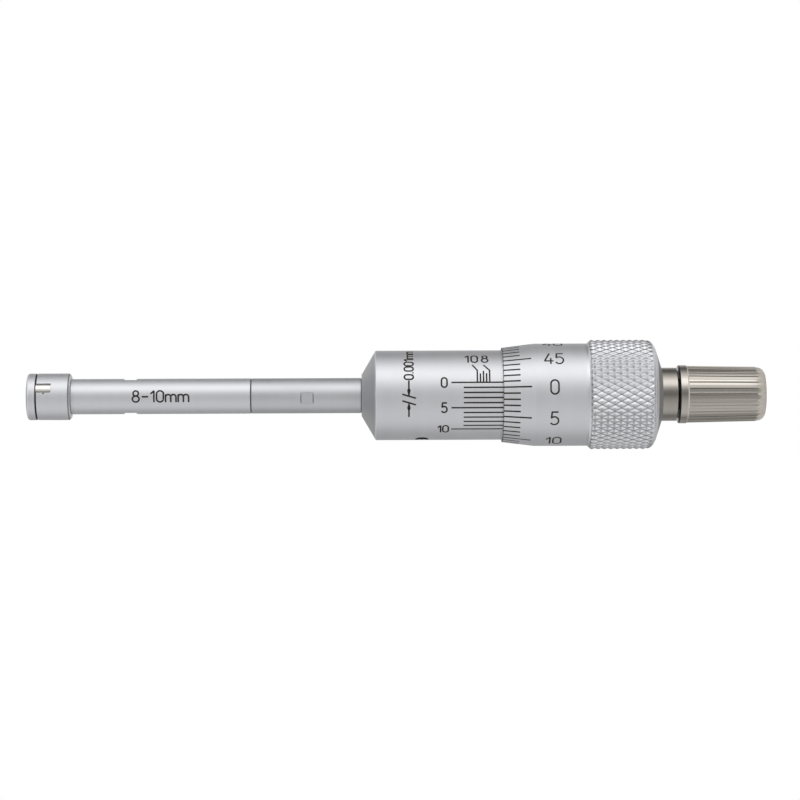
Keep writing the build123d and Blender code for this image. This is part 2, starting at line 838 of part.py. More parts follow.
# Jaws: a ramped foot on the cone and a narrow crowned pad at the tip
jaw_width = slot_width - 2 * jaw_side_gap
jaw_rear = slot_rear + end_gap
jaw_front = cap_rear - end_gap
foot_radius = cone_tip_radius + contact_gap
for k, angle in enumerate(jaw_angles):
    with BuildPart() as jaw:
        with BuildSketch(level_plane(angle, jaw_rear)):
            with BuildLine():
                Polyline(
                    (jaw_tip_radius - jaw_pad_crown, -jaw_pad_width / 2),
                    (jaw_shoulder_radius, -jaw_pad_width / 2),
                    (jaw_shoulder_radius - jaw_shoulder_fall, -jaw_width / 2),
                    (0, -jaw_width / 2),
                    (0, jaw_width / 2),
                    (jaw_shoulder_radius - jaw_shoulder_fall, jaw_width / 2),
                    (jaw_shoulder_radius, jaw_pad_width / 2),
                    (jaw_tip_radius - jaw_pad_crown, jaw_pad_width / 2),
                )
                ThreePointArc(
                    (jaw_tip_radius - jaw_pad_crown, jaw_pad_width / 2),
                    (jaw_tip_radius, 0),
                    (jaw_tip_radius - jaw_pad_crown, -jaw_pad_width / 2),
                )
            make_face()
        extrude(amount=jaw_front - jaw_rear)
        with BuildSketch(side_plane(angle)):
            with BuildLine():
                Polyline(
                    (foot_radius + (cone_tip - jaw_rear) * cone_slope, jaw_rear),
                    (jaw_tip_radius, jaw_rear),
                    (jaw_tip_radius, jaw_front),
                    (jaw_heel_radius, jaw_front),
                    (jaw_heel_radius, cone_tip + jaw_heel_radius - foot_radius),
                    (foot_radius, cone_tip),
                    close=True,
                )
            make_face()
        extrude(amount=jaw_width, both=True, mode=Mode.INTERSECT)
        revolve(
            tube_section(
                ring_radius - ring_wire_radius - screwed_gap,
                ring_radius + ring_wire_radius + screwed_gap,
                jaw_front - 2 * ring_wire_radius - screwed_gap,
                jaw_front,
            ),
            axis=Axis.Z,
            mode=Mode.SUBTRACT,
        )
    write(jaw.part, f"jaw_{k + 1}")

with BuildPart() as jaw_spring:
    with Locations((0, 0, jaw_front - ring_wire_radius)):
        Torus(ring_radius, ring_wire_radius)
write(jaw_spring.part, "jaw_spring")
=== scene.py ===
"""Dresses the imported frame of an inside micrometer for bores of 8 to 10 mm.

Lengths in the code are millimetres and become metres when a mesh is made. The instrument's axis is Z. A place
on the round is an angle in degrees from +X towards +Y, so the scales face -Y, at about -90 degrees.
"""

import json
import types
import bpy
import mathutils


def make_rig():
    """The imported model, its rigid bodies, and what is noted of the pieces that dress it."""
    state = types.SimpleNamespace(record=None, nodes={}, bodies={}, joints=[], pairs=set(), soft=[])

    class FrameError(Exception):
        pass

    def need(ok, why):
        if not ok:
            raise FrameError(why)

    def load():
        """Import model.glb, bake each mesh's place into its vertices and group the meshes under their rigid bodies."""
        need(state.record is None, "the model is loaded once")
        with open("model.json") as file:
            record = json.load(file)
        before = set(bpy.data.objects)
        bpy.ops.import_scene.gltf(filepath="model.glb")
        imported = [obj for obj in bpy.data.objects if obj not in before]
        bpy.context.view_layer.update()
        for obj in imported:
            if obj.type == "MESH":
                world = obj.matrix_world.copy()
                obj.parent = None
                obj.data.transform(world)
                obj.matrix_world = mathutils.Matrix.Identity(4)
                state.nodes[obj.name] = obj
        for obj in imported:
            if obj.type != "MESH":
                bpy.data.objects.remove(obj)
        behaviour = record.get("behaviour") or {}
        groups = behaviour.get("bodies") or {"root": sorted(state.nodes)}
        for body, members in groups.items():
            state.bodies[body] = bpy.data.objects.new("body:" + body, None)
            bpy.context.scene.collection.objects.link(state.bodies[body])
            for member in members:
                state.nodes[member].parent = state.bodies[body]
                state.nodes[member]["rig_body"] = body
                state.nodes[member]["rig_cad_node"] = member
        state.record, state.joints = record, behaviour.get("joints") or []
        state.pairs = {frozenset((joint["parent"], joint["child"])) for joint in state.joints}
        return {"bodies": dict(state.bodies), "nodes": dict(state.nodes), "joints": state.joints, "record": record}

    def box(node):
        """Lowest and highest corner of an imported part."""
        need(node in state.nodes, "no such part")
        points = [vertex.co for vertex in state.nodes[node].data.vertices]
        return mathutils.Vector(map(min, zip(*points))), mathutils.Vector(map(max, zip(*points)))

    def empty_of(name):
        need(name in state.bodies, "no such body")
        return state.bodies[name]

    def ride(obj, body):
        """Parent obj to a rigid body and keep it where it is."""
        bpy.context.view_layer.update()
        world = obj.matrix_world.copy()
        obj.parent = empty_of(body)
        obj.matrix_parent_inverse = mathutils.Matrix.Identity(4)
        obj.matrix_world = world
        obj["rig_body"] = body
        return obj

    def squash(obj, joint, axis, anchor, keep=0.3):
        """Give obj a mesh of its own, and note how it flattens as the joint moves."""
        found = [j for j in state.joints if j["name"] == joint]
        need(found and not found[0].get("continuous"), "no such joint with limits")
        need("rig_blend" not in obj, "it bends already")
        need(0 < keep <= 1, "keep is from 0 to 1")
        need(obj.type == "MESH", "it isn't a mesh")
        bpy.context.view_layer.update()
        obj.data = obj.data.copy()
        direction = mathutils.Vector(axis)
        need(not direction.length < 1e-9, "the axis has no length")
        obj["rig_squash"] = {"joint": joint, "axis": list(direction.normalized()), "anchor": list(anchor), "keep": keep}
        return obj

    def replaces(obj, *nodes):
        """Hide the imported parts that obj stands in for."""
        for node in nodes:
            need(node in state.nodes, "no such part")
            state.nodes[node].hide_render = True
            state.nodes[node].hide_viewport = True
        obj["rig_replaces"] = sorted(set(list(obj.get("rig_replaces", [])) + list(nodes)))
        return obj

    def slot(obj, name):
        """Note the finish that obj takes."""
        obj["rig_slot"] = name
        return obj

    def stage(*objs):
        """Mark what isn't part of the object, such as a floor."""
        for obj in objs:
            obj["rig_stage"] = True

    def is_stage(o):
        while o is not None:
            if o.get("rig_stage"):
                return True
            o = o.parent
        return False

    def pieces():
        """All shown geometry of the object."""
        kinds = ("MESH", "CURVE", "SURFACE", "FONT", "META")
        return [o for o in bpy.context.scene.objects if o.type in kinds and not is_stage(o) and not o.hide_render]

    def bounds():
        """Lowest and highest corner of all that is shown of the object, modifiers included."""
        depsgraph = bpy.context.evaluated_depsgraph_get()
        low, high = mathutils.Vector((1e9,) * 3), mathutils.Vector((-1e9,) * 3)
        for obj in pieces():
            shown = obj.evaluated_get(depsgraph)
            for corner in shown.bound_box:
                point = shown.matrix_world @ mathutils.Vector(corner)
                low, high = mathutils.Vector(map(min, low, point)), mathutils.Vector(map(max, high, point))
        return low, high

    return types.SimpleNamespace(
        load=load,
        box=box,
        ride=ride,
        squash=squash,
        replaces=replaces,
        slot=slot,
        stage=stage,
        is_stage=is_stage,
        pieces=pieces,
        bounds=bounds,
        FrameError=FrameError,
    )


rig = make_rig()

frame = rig.load()
import json
import math

import bpy
import numpy as np
from bpy.props import FloatProperty, FloatVectorProperty, IntProperty, PointerProperty
from mathutils import Matrix, Vector

bl_info = {
    "name": "Inside micrometer",
    "version": (1, 0, 0),
    "blender": (4, 5, 0),
    "location": "View3D > Sidebar > Micrometer",
    "description": "Makes the surfaces, scales, finishes and studio of a three-point inside micrometer",
    "category": "Object",
}

MM = 0.001
CAD_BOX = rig.bounds()
FULL_TURN = 2 * math.pi
# Margins for comparing lengths in millimetres: against rounding, and between rows of points.
TINY = 1e-6
NEAR = 1e-3


# Sizes and colours that a user would change

def length(name, description, size):
    """A length property whose default is given in millimetres."""
    return FloatProperty(name=name, description=description, default=size * MM, unit="LENGTH", precision=5)


def colour(name, description, red, green, blue):
    """A colour property, scene linear."""
    return FloatVectorProperty(
        name=name, description=description, default=(red, green, blue), subtype="COLOR", min=0, max=1
    )


def share(name, description, value):
    """A plain number from 0 to 1."""
    return FloatProperty(name=name, description=description, default=value, min=0, max=1, subtype="FACTOR")


class ScaleSizes(bpy.types.PropertyGroup):
    """The engraved scales."""

    line: length("Line width", "Width of a graduation", 0.25)
    stroke: length("Stroke width", "Width of a numeral's stroke", 0.27)
    thimble_numeral: length("Thimble numerals", "Height of the thimble's numerals", 2.3)
    sleeve_numeral: length("Sleeve numerals", "Height of the vernier's numerals", 1.6)
    stem_numeral: length("Stem numerals", "Height of the range on the stem", 1.85)
    paint: colour("Paint", "Colour that fills the engraving", 0.028, 0.023, 0.02)


class GripSizes(bpy.types.PropertyGroup):
    """The knurl and the knob's flutes."""

    knurl_count: IntProperty(
        name="Knurl grooves", description="Grooves of one hand round the thimble", default=50
    )
    knurl_pitch: length("Knurl pitch", "Distance between grooves along the axis", 2.1)
    knurl_depth: length("Knurl depth", "Depth of the knurl's grooves", 0.34)
    flute_count: IntProperty(name="Flutes", description="Flutes round the ratchet knob", default=25)
    flute_width: length("Flute width", "Width of a flute at the surface", 0.68)
    flute_depth: length("Flute depth", "Depth of a flute", 0.19)


class FinishColours(bpy.types.PropertyGroup):
    """The metals."""

    chrome: colour("Satin chrome", "Head, stem, sleeve and thimble", 0.772, 0.777, 0.806)
    chrome_roughness: share("Chrome roughness", "Softness of the reflections in satin chrome", 0.5)
    stainless: colour("Stainless", "Ratchet knob and neck", 0.475, 0.446, 0.405)
    stainless_roughness: share("Stainless roughness", "Softness of the reflections in stainless", 0.17)
    hardened: colour("Hardened steel", "Jaws, screws and spindle", 0.78, 0.76, 0.72)


class StudioSizes(bpy.types.PropertyGroup):
    """The camera."""

    distance: length("Camera distance", "From the camera to the instrument's axis", 457.2)
    height: length("Camera height", "Height of the camera above the floor", 64.75)
    lens: FloatProperty(name="Lens", description="Focal length in millimetres", default=125.1)
    roll: FloatProperty(
        name="Roll", description="Turn of the axis in the picture", default=math.radians(0.237),
        subtype="ANGLE",
    )


# Surfaces

def span(node):
    """The lowest and highest place of a CAD node along the axis, in millimetres."""
    low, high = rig.box(node)
    return low.z / MM, high.z / MM


def rounded(*corners, segments=6):
    """A profile whose corners (radius, height, rounding) become arcs. The two ends aren't rounded.

    An arc of radius q touches both sides at q / tan(w / 2) from the corner, where w is the angle between
    the sides, and its centre lies q / sin(w / 2) from the corner on the line that halves that angle."""
    places = np.array([corner[:2] for corner in corners], float)
    pieces = [places[:1]]
    for back, here, ahead, (_, _, q) in zip(places, places[1:], places[2:], corners[1:-1]):
        if not q:
            pieces.append(here[None])
            continue
        back, ahead = back - here, ahead - here
        back, ahead = back / np.linalg.norm(back), ahead / np.linalg.norm(ahead)
        half = math.acos(np.clip(back @ ahead, -1, 1)) / 2
        middle = (back + ahead) / np.linalg.norm(back + ahead)
        centre = here + middle * q / math.sin(half)
        first = here + back * q / math.tan(half) - centre
        last = here + ahead * q / math.tan(half) - centre
        begin, end = math.atan2(first[1], first[0]), math.atan2(last[1], last[0])
        sweep = (end - begin + math.pi) % FULL_TURN - math.pi
        turn = begin + np.linspace(0, sweep, segments + 1)
        pieces.append(centre + q * np.column_stack((np.cos(turn), np.sin(turn))))
    return np.vstack((*pieces, places[-1:]))


def run(low, high, rows):
    """Rows of a straight side between two (radius, height) ends, ends left out."""
    steps = np.linspace(0, 1, rows + 2)[1:-1, None]
    return np.array(low) + steps * (np.array(high) - np.array(low))


def add_mesh(name, points, *face_groups, crease=35):
    """A smooth mesh object from points in millimetres and arrays of faces, sharp past a crease angle."""
    mesh = bpy.data.meshes.new(name)
    mesh.vertices.add(len(points))
    mesh.vertices.foreach_set("co", (np.asarray(points, float) * MM).astype(np.float32).ravel())
    sizes = np.concatenate([np.full(len(faces), faces.shape[1]) for faces in face_groups])
    corners = np.concatenate([faces.ravel() for faces in face_groups])
    mesh.loops.add(len(corners))
    mesh.loops.foreach_set("vertex_index", corners.astype(np.int32))
    mesh.polygons.add(len(sizes))
    mesh.polygons.foreach_set("loop_start", (np.cumsum(sizes) - sizes).astype(np.int32))
    mesh.polygons.foreach_set("loop_total", sizes.astype(np.int32))
    mesh.update(calc_edges=True)
    mesh.validate()
    mesh.polygons.foreach_set("use_smooth", np.ones(len(mesh.polygons), bool))
    mesh.set_sharp_from_angle(angle=math.radians(crease))
    piece = bpy.data.objects.new(name, mesh)
    bpy.context.scene.collection.objects.link(piece)
    return piece


def grid_faces(rows, columns, wrap_rows):
    """Faces between neighbours of a grid that closes round its columns, and round its rows if asked."""
    row = np.arange(rows if wrap_rows else rows - 1)[:, None]
    column = np.arange(columns)[None, :]
    here, ahead = row * columns, (row + 1) % rows * columns
    beside = (column + 1) % columns
    return np.stack((here + column, here + beside, ahead + beside, ahead + column), axis=-1).reshape(-1, 4)


def supported(profile, closed, gap=0.03, shortest=0.25):
    """The profile with a point just inside both ends of its longer sides, so that these look straight."""
    ahead = np.roll(profile, -1, axis=0)
    size = np.linalg.norm(ahead - profile, axis=1, keepdims=True)
    inward = (ahead - profile) / np.maximum(size, TINY) * gap
    points = np.stack((profile, profile + inward, ahead - inward), axis=1)
    keep = np.repeat(size > shortest, 3, axis=1)
    keep[:, 0] = True
    if not closed:
        keep[-1, 1:] = False
    return points[keep]


def turned(name, profile, columns=256, start=0.0, closed=True, shape=None, crease=35):
    """A turned piece: profile point s at turn t lies at (r(s) cos t, r(s) sin t, z(s)).

    The profile runs upwards on the outside. A closed one makes a ring; an open one begins and ends on the
    axis. columns is a count, or the turns themselves. shape takes the grids of radius, height and turn and
    returns the points."""
    turn = np.radians(start) + np.arange(columns) * FULL_TURN / columns if np.isscalar(columns) else columns
    profile = supported(profile, closed)
    if not closed:
        poles, profile = profile[[0, -1]], profile[1:-1]
    radius, turn = np.meshgrid(profile[:, 0], turn, indexing="ij")
    height = np.broadcast_to(profile[:, 1:2], radius.shape)
    points = shape(radius, height, turn) if shape else round_points(radius, height, turn)
    rows, columns = radius.shape
    groups = [grid_faces(rows, columns, closed)]
    points = points.reshape(-1, 3)
    if not closed:
        points = np.vstack((points, [(0, 0, poles[0, 1]), (0, 0, poles[1, 1])]))
        j = np.arange(columns)
        near, far = rows * columns, rows * columns + 1
        last = (rows - 1) * columns
        groups.append(np.column_stack((np.full(columns, near), (j + 1) % columns, j)))
        groups.append(np.column_stack((np.full(columns, far), last + j, last + (j + 1) % columns)))
    return add_mesh(name, points, *groups, crease=crease)


def round_points(radius, height, turn):
    """Points of a surface round the axis."""
    return np.stack(np.broadcast_arrays(radius * np.cos(turn), radius * np.sin(turn), height), axis=-1)


# Lettering and lines

STROKE_STEP = 0.1


def bow(x, y, across, up, begin, end, steps=18):
    """Points of an arc of an ellipse about (x, y), from one angle to another."""
    turn = np.radians(np.linspace(begin, end, steps))
    return np.column_stack((x + across * np.cos(turn), y + up * np.sin(turn)))


def path(*points):
    """A path through points."""
    return np.array(points, float)


# Each glyph is its width and its strokes, as shares of a letter's height.
GLYPHS = {
    "0": (0.56, [
        np.vstack((
            bow(0.28, 0.72, 0.28, 0.28, 0, 180), bow(0.28, 0.28, 0.28, 0.28, 180, 360), [(0.56, 0.72)],
        )),
    ]),
    "1": (0.3, [path((0.26, 0), (0.26, 1)), path((0.0, 0.74), (0.245, 0.99))]),
    "2": (0.56, [
        np.vstack((bow(0.28, 0.72, 0.27, 0.28, 170, -38), [(0.02, 0.0)])),
        path((0.0, 0), (0.56, 0)),
    ]),
    "3": (0.54, [bow(0.26, 0.76, 0.24, 0.24, 155, -90), bow(0.26, 0.26, 0.28, 0.26, 90, -155)]),
    "4": (0.6, [
        path((0.34, 1), (0.0, 0.26)), path((0.0, 0.25), (0.6, 0.25)), path((0.43, 0.5), (0.43, 0)),
    ]),
    "5": (0.54, [
        path((0.5, 1), (0.06, 1)), path((0.08, 0.98), (0.04, 0.56)), bow(0.25, 0.32, 0.29, 0.32, 136, -145),
    ]),
    "8": (0.56, [bow(0.28, 0.77, 0.22, 0.23, 0, 360, 25), bow(0.28, 0.27, 0.28, 0.27, 0, 360, 25)]),
    "-": (0.6, [path((0.06, 0.47), (0.54, 0.47))]),
    ".": (0.12, [path((0.06, 0.0), (0.06, 0.06))]),
    "m": (0.86, [
        path((0, 0), (0, 0.66)),
        np.vstack((bow(0.215, 0.45, 0.215, 0.21, 180, 0), [(0.43, 0)])),
        np.vstack((bow(0.645, 0.45, 0.215, 0.21, 180, 0), [(0.86, 0)])),
    ]),
}


def lettering(text, height, gap=0.18, width=None):
    """The strokes of a text, centred on (0, 0), with x along the line and y towards the letters' tops."""
    x, strokes = 0.0, []
    for letter in text:
        advance, paths = GLYPHS[letter]
        strokes += [p + (x, 0) for p in paths]
        x += advance + gap
    total = x - gap
    stretch = width / total if width else height
    return [(p - (total / 2, 0.5)) * (stretch, height) for p in strokes]


def ribbon(points, width):
    """Left and right sides of a stroke: each point moved by half the width across its mean direction.

    The stroke is first divided evenly, so that it bends with the round that it lies on. A third column widens
    or narrows it along its length. An open stroke gets a short narrower cap at each end."""
    closed = np.allclose(points[0], points[-1])
    reach = np.append(0, np.cumsum(np.linalg.norm(np.diff(points[:, :2], axis=0), axis=1)))
    at = np.linspace(0, reach[-1], max(3, math.ceil(reach[-1] / STROKE_STEP) + 1))
    swell = np.interp(at, reach, points[:, 2]) if points.shape[1] > 2 else np.ones(len(at))
    points = np.column_stack([np.interp(at, reach, points[:, k]) for k in (0, 1)])
    if closed:
        points = points[:-1]
        along = np.roll(points, -1, axis=0) - np.roll(points, 1, axis=0)
    else:
        along = np.gradient(points, axis=0)
    along = along / np.linalg.norm(along, axis=1, keepdims=True)
    half = width / 2 * swell[:len(points)]
    if not closed:
        points = np.vstack((points[0] - along[0] * width / 4, points, points[-1] + along[-1] * width / 4))
        along = along[[0, *range(len(along)), -1]]
        half = np.concatenate((half[:1] / 2, half, half[-1:] / 2))
    across = np.column_stack((-along[:, 1], along[:, 0])) * half[:, None]
    return points + across, points - across, closed


def marks(name, strokes, place, width, low=0.03, high=0.006):
    """Flat strokes laid on a round surface, each a closed slab from low under it to high over it.

    place takes the flat points and a rise and returns points in space."""
    points, quads, count = [], [], 0
    for stroke in strokes:
        left, right, closed = ribbon(stroke, width)
        corners = ((left, -low), (left, high), (right, high), (right, -low))
        slab = np.stack([place(side, rise) for side, rise in corners], axis=1)
        end = 4 * len(slab)
        quads.append(grid_faces(len(slab), 4, closed) + count)
        if not closed:
            quads.append(np.array([[3, 2, 1, 0], [end - 4, end - 3, end - 2, end - 1]]) + count)
        points.append(slab.reshape(-1, 3))
        count += end
    return add_mesh(name, np.vstack(points), np.vstack(quads))


def engraved(name, body, strokes, place, width):
    """Painted strokes on a body's satin chrome."""
    return fit(marks(name, strokes, place, width), body, "satin_chrome", finish="paint")


def on_round(radius, angle, height, upright=False):
    """A place on the round for flat points (x, y): x runs towards the knob and y round the surface.

    radius is a number or a function of height. With upright, x runs round the surface and y towards the
    head, so that a text reads round it."""
    def place(flat, rise):
        x, y = (-flat[:, 1], flat[:, 0]) if upright else (flat[:, 0], flat[:, 1])
        z = height - x
        r = radius(z) if callable(radius) else np.full(len(z), float(radius))
        turn = math.radians(angle) + y / (radius(height) if callable(radius) else radius)
        return round_points(r + rise, z, turn)
    return place


# Materials

# Cells to a metre of the noises in metal: tool marks and grain, streaks along or round the axis, and clouds.
FINE_CELLS = 5200
AXIAL_STREAK_CELLS = 1500
ROUND_STREAK_CELLS = 900
CLOUD_CELLS = 160
STREAK_CONTRAST = 10
# How steeply a band of painted shade begins, as the share that it gains over a millimetre.
BAND_STEEPNESS = 14
CLOUD_ROUGHNESS = 0.1
STREAK_ROUGHNESS = 0.08
# Painted shade: the rear tube's chrome is this share as bright as the front tube's.
REAR_STEM_PAINTED_SHADE = 0.88
# Painted light: the knob's stainless is this many times as bright as the neck's.
FLUTE_PAINTED_LIGHT = 1.24


class Value:
    """An output socket, on which Python's operators add Math nodes."""

    def __init__(self, finish, socket):
        self.finish, self.socket = finish, socket

    def math(self, operation, *others):
        """A Math node on this value and others."""
        return self.finish.add("ShaderNodeMath", {"operation": operation}, dict(enumerate((self, *others))))

    def clamped(self):
        """The value, held between 0 and 1."""
        return self.math("MINIMUM", 1.0).math("MAXIMUM", 0.0)

    def __add__(self, other):
        return self.math("ADD", other)

    def __mul__(self, other):
        return self.math("MULTIPLY", other)

    def __sub__(self, other):
        return self.math("SUBTRACT", other)

    def __rsub__(self, other):
        return self * -1 + other

    def __truediv__(self, other):
        return self.math("DIVIDE", other)

    def __rtruediv__(self, other):
        return self.finish.add("ShaderNodeMath", {"operation": "DIVIDE"}, {0: other, 1: self})

    __radd__, __rmul__ = __add__, __mul__


class Finish:
    """A node tree that is written as expressions."""

    def __init__(self, owner):
        owner.use_nodes = True
        self.tree = owner.node_tree
        self.tree.nodes.clear()

    def add(self, kind, settings=None, values=None, output=0):
        """A node with its settings made first and its sockets fed with numbers, colours or values."""
        node = self.tree.nodes.new(kind)
        for key, value in (settings or {}).items():
            if key == "stops":
                ramp = node.color_ramp
                for place, _ in value[2:]:
                    ramp.elements.new(place)
                for element, (place, tone) in zip(ramp.elements, sorted(value)):
                    element.position = place
                    element.color = (tone, tone, tone, 1)
            else:
                setattr(node, key, value)
        for key, value in (values or {}).items():
            socket = node.inputs[key]
            if isinstance(value, Value):
                self.tree.links.new(value.socket, socket)
            elif np.ndim(value) and len(value) == 3 and socket.type == "RGBA":
                socket.default_value = (*value, 1)
            else:
                socket.default_value = value
        return Value(self, node.outputs[output]) if node.outputs else None

    def place(self):
        """Object coordinates."""
        return self.add("ShaderNodeTexCoord", output="Object")

    def parts(self, vector):
        """The three numbers of a vector."""
        x = self.add("ShaderNodeSeparateXYZ", None, {0: vector})
        return x, *(Value(self, x.socket.node.outputs[k]) for k in (1, 2))

    def ray(self, kind):
        """1 for what one kind of ray meets, else 0."""
        return self.add("ShaderNodeLightPath", output=f"Is {kind} Ray")

    def noise(self, scale, stretch=(1, 1, 1), detail=2.0):
        """Noise with so many cells to a metre, drawn out by stretch."""
        cells = [scale * s for s in stretch]
        spread = self.add("ShaderNodeVectorMath", {"operation": "MULTIPLY"}, {0: self.place(), 1: cells})
        return self.add(
            "ShaderNodeTexNoise", None, {"Vector": spread, "Scale": 1.0, "Detail": detail, "Roughness": 0.55}
        )

    def blend(self, factor, first, second):
        """A colour between two others."""
        return self.add(
            "ShaderNodeMix", {"data_type": "RGBA"}, {"Factor": factor, 6: first, 7: second}, output=2
        )

    def skin(self, values):
        """The shader of a surface, as the material's output."""
        surface = self.add("ShaderNodeBsdfPrincipled", None, values)
        self.add("ShaderNodeOutputMaterial", None, {"Surface": surface})


def metal(
    name, tone, roughness, lines=0.3, grain=0.15, axial=False, streak=0.05, shaded_bands=(), worn=None, bright=None
):
    """Machined metal: fine tool lines round the axis or along it, blasted grain, and faint handling marks.

    The bands (height, half width, share) in millimetres are painted shade at joints, edges and recesses: there
    the tone falls to that share of itself. The sunk lines of a pattern get painted shade in the same way: a
    function takes the distance from the axis and the height, in millimetres, and returns a depth and a share.
    Bright is a band (height, half width, drop) where the roughness falls by that drop."""
    material = bpy.data.materials.new(name)
    finish = Finish(material)
    if axial:
        tool = finish.noise(FINE_CELLS, (1, 1, 0.05), 3.0)
        broad = finish.noise(AXIAL_STREAK_CELLS, (1, 1, 0.06))
    else:
        tool = finish.noise(FINE_CELLS, (0.012, 0.012, 1), 3.0)
        broad = finish.noise(ROUND_STREAK_CELLS, (0.03, 0.03, 1))
    pebble = finish.noise(FINE_CELLS, detail=1.0)
    cloud = finish.noise(CLOUD_CELLS, detail=3.0)
    dull, pale = [c * (1 - streak) for c in tone], [min(1, c * (1 + streak)) for c in tone]
    shade = finish.blend((broad - 0.5) * STREAK_CONTRAST * streak + 0.5, dull, pale)
    x, y, z = finish.parts(finish.place())

    def within(height, half):
        """How far a point lies inside a band, in millimetres."""
        return (z - height * MM).math("ABSOLUTE") / -MM + half

    bands = [(within(height, half), left) for height, half, left in shaded_bands]
    if worn:
        bands.append(worn((x * x + y * y).math("SQRT") / MM, z / MM))
    for depth, left in bands:
        shade = finish.blend((depth * BAND_STEEPNESS).clamped(), shade, [c * left for c in tone])
    rough = (cloud - 0.5) * CLOUD_ROUGHNESS + (broad - 0.5) * STREAK_ROUGHNESS + roughness
    if bright:
        height, half, drop = bright
        rough = rough - within(height, half).clamped() * drop
    relief = tool * lines + pebble * grain
    bump = finish.add("ShaderNodeBump", None, {"Strength": 0.35, "Distance": 0.00002, "Height": relief})
    finish.skin({"Base Color": shade, "Metallic": 1.0, "Roughness": rough, "Normal": bump})
    return material


def flute_lip_shade(away, height):
    """Painted shade along both lips of the knob's flutes, beginning above the knob's rounded end."""
    depth, half_width, begin, left = 0.11, 0.075, 1.3, 0.2
    sunk = (height * KNOB_SLOPE + KNOB_FOOT) - away
    return (half_width - (sunk - depth).math("ABSOLUTE")).math("MINIMUM", height - begin), left


def knurl_valley_shade(away, height):
    """Painted shade in the bottom of the knurl's grooves."""
    reach, left = 5.1, 0.4
    ends = reach - (height - (span("thimble")[0] + KNURL_MIDDLE)).math("ABSOLUTE")
    return (KNURL_RADIUS - KNURL_SHADE_DEPTH - away).math("MINIMUM", ends), left


def screw_hole_shade(away, height):
    """The shaded wall of the set screw's hole in the sleeve."""
    reach, sunk, left = 1.3, 0.1, 0.03
    ends = reach - (height - (span("sleeve")[1] - NOSE_LENGTH - SCREW_PLACE)).math("ABSOLUTE")
    return (SLEEVE_RADIUS - sunk - away).math("MINIMUM", ends), left


def painted(name, tone):
    """Matt paint rubbed into the engraving."""
    material = bpy.data.materials.new(name)
    finish = Finish(material)
    wear = finish.noise(2600)
    shade = finish.blend(wear, [c * 0.75 for c in tone], [c * 1.6 for c in tone])
    bump = finish.add("ShaderNodeBump", None, {"Strength": 0.3, "Distance": 0.00001, "Height": wear})
    rough = wear * 0.2 + 0.5
    finish.skin({"Base Color": shade, "Roughness": rough, "Specular IOR Level": 0.2, "Normal": bump})
    return material


def finish_of(slot, shaded_bands=(), worn=None):
    """The material of a finish, made when it is first asked for."""
    name = "_".join(["finish", slot, *(f"{band[0]:.0f}" for band in shaded_bands)])
    if name in bpy.data.materials:
        return bpy.data.materials[name]
    if slot == "paint":
        return painted(name, bpy.context.scene.mic_scale.paint)
    tones = bpy.context.scene.mic_finish
    chrome, stainless, hardened = tuple(tones.chrome), tuple(tones.stainless), tuple(tones.hardened)
    soft, plain = tones.chrome_roughness, tones.stainless_roughness
    knurl = span("thimble")[0] + KNURL_MIDDLE
    # Painted shade: the knurled band is a little darker than the rest of the thimble.
    if slot == "knurled_chrome":
        shaded_bands = (*shaded_bands, (knurl, 5.3, 0.93))
    tone, roughness, looks = {
        "satin_chrome": (chrome, soft, {"worn": worn}),
        "stem_chrome": ([c * REAR_STEM_PAINTED_SHADE for c in chrome], soft, {"worn": worn}),
        "sleeve_chrome": (chrome, soft, {"worn": screw_hole_shade}),
        "knurled_chrome": (chrome, soft, {"worn": knurl_valley_shade, "bright": (knurl, 6.0, 0.2)}),
        "stainless": (stainless, plain, {"lines": 0.15, "streak": 0.08}),
        "fluted": (
            [c * FLUTE_PAINTED_LIGHT for c in stainless], plain,
            {"lines": 0.05, "grain": 0.08, "axial": True, "streak": 0.1, "worn": flute_lip_shade},
        ),
        "hardened_steel": (hardened, 0.16, {"lines": 0.2, "streak": 0.04}),
        "spring_steel": ((0.5, 0.5, 0.5), 0.25, {"lines": 0.2}),
        "bronze": ((0.66, 0.5, 0.28), 0.3, {}),
        "black_steel": ((0.05, 0.05, 0.055), 0.4, {}),
    }[slot]
    return metal(name, tone, roughness, shaded_bands=shaded_bands, **looks)


def fit(piece, body, slot, *nodes, finish=None, shaded_bands=(), worn=None):
    """Puts a finished piece on its body with its material and says which nodes it stands for."""
    piece.data.materials.append(finish_of(finish or slot, shaded_bands, worn))
    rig.ride(piece, body)
    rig.slot(piece, slot)
    if nodes:
        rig.replaces(piece, *nodes)
    return piece


# Head

SLOT_ANGLES = (-67.5, 52.5, 172.5)
SLOT_HALF = 0.825
SLOT_LENGTH = 2.53
SLOT_FLOOR = 2.25
NOTCH_PLACE = 1.22
NOTCH_RADIUS = 0.22
NOTCH_REACH = 0.55
HEAD_RADIUS = 3.83
SEAM_WIDTH = 0.17
SEAM_DEPTH = 0.35


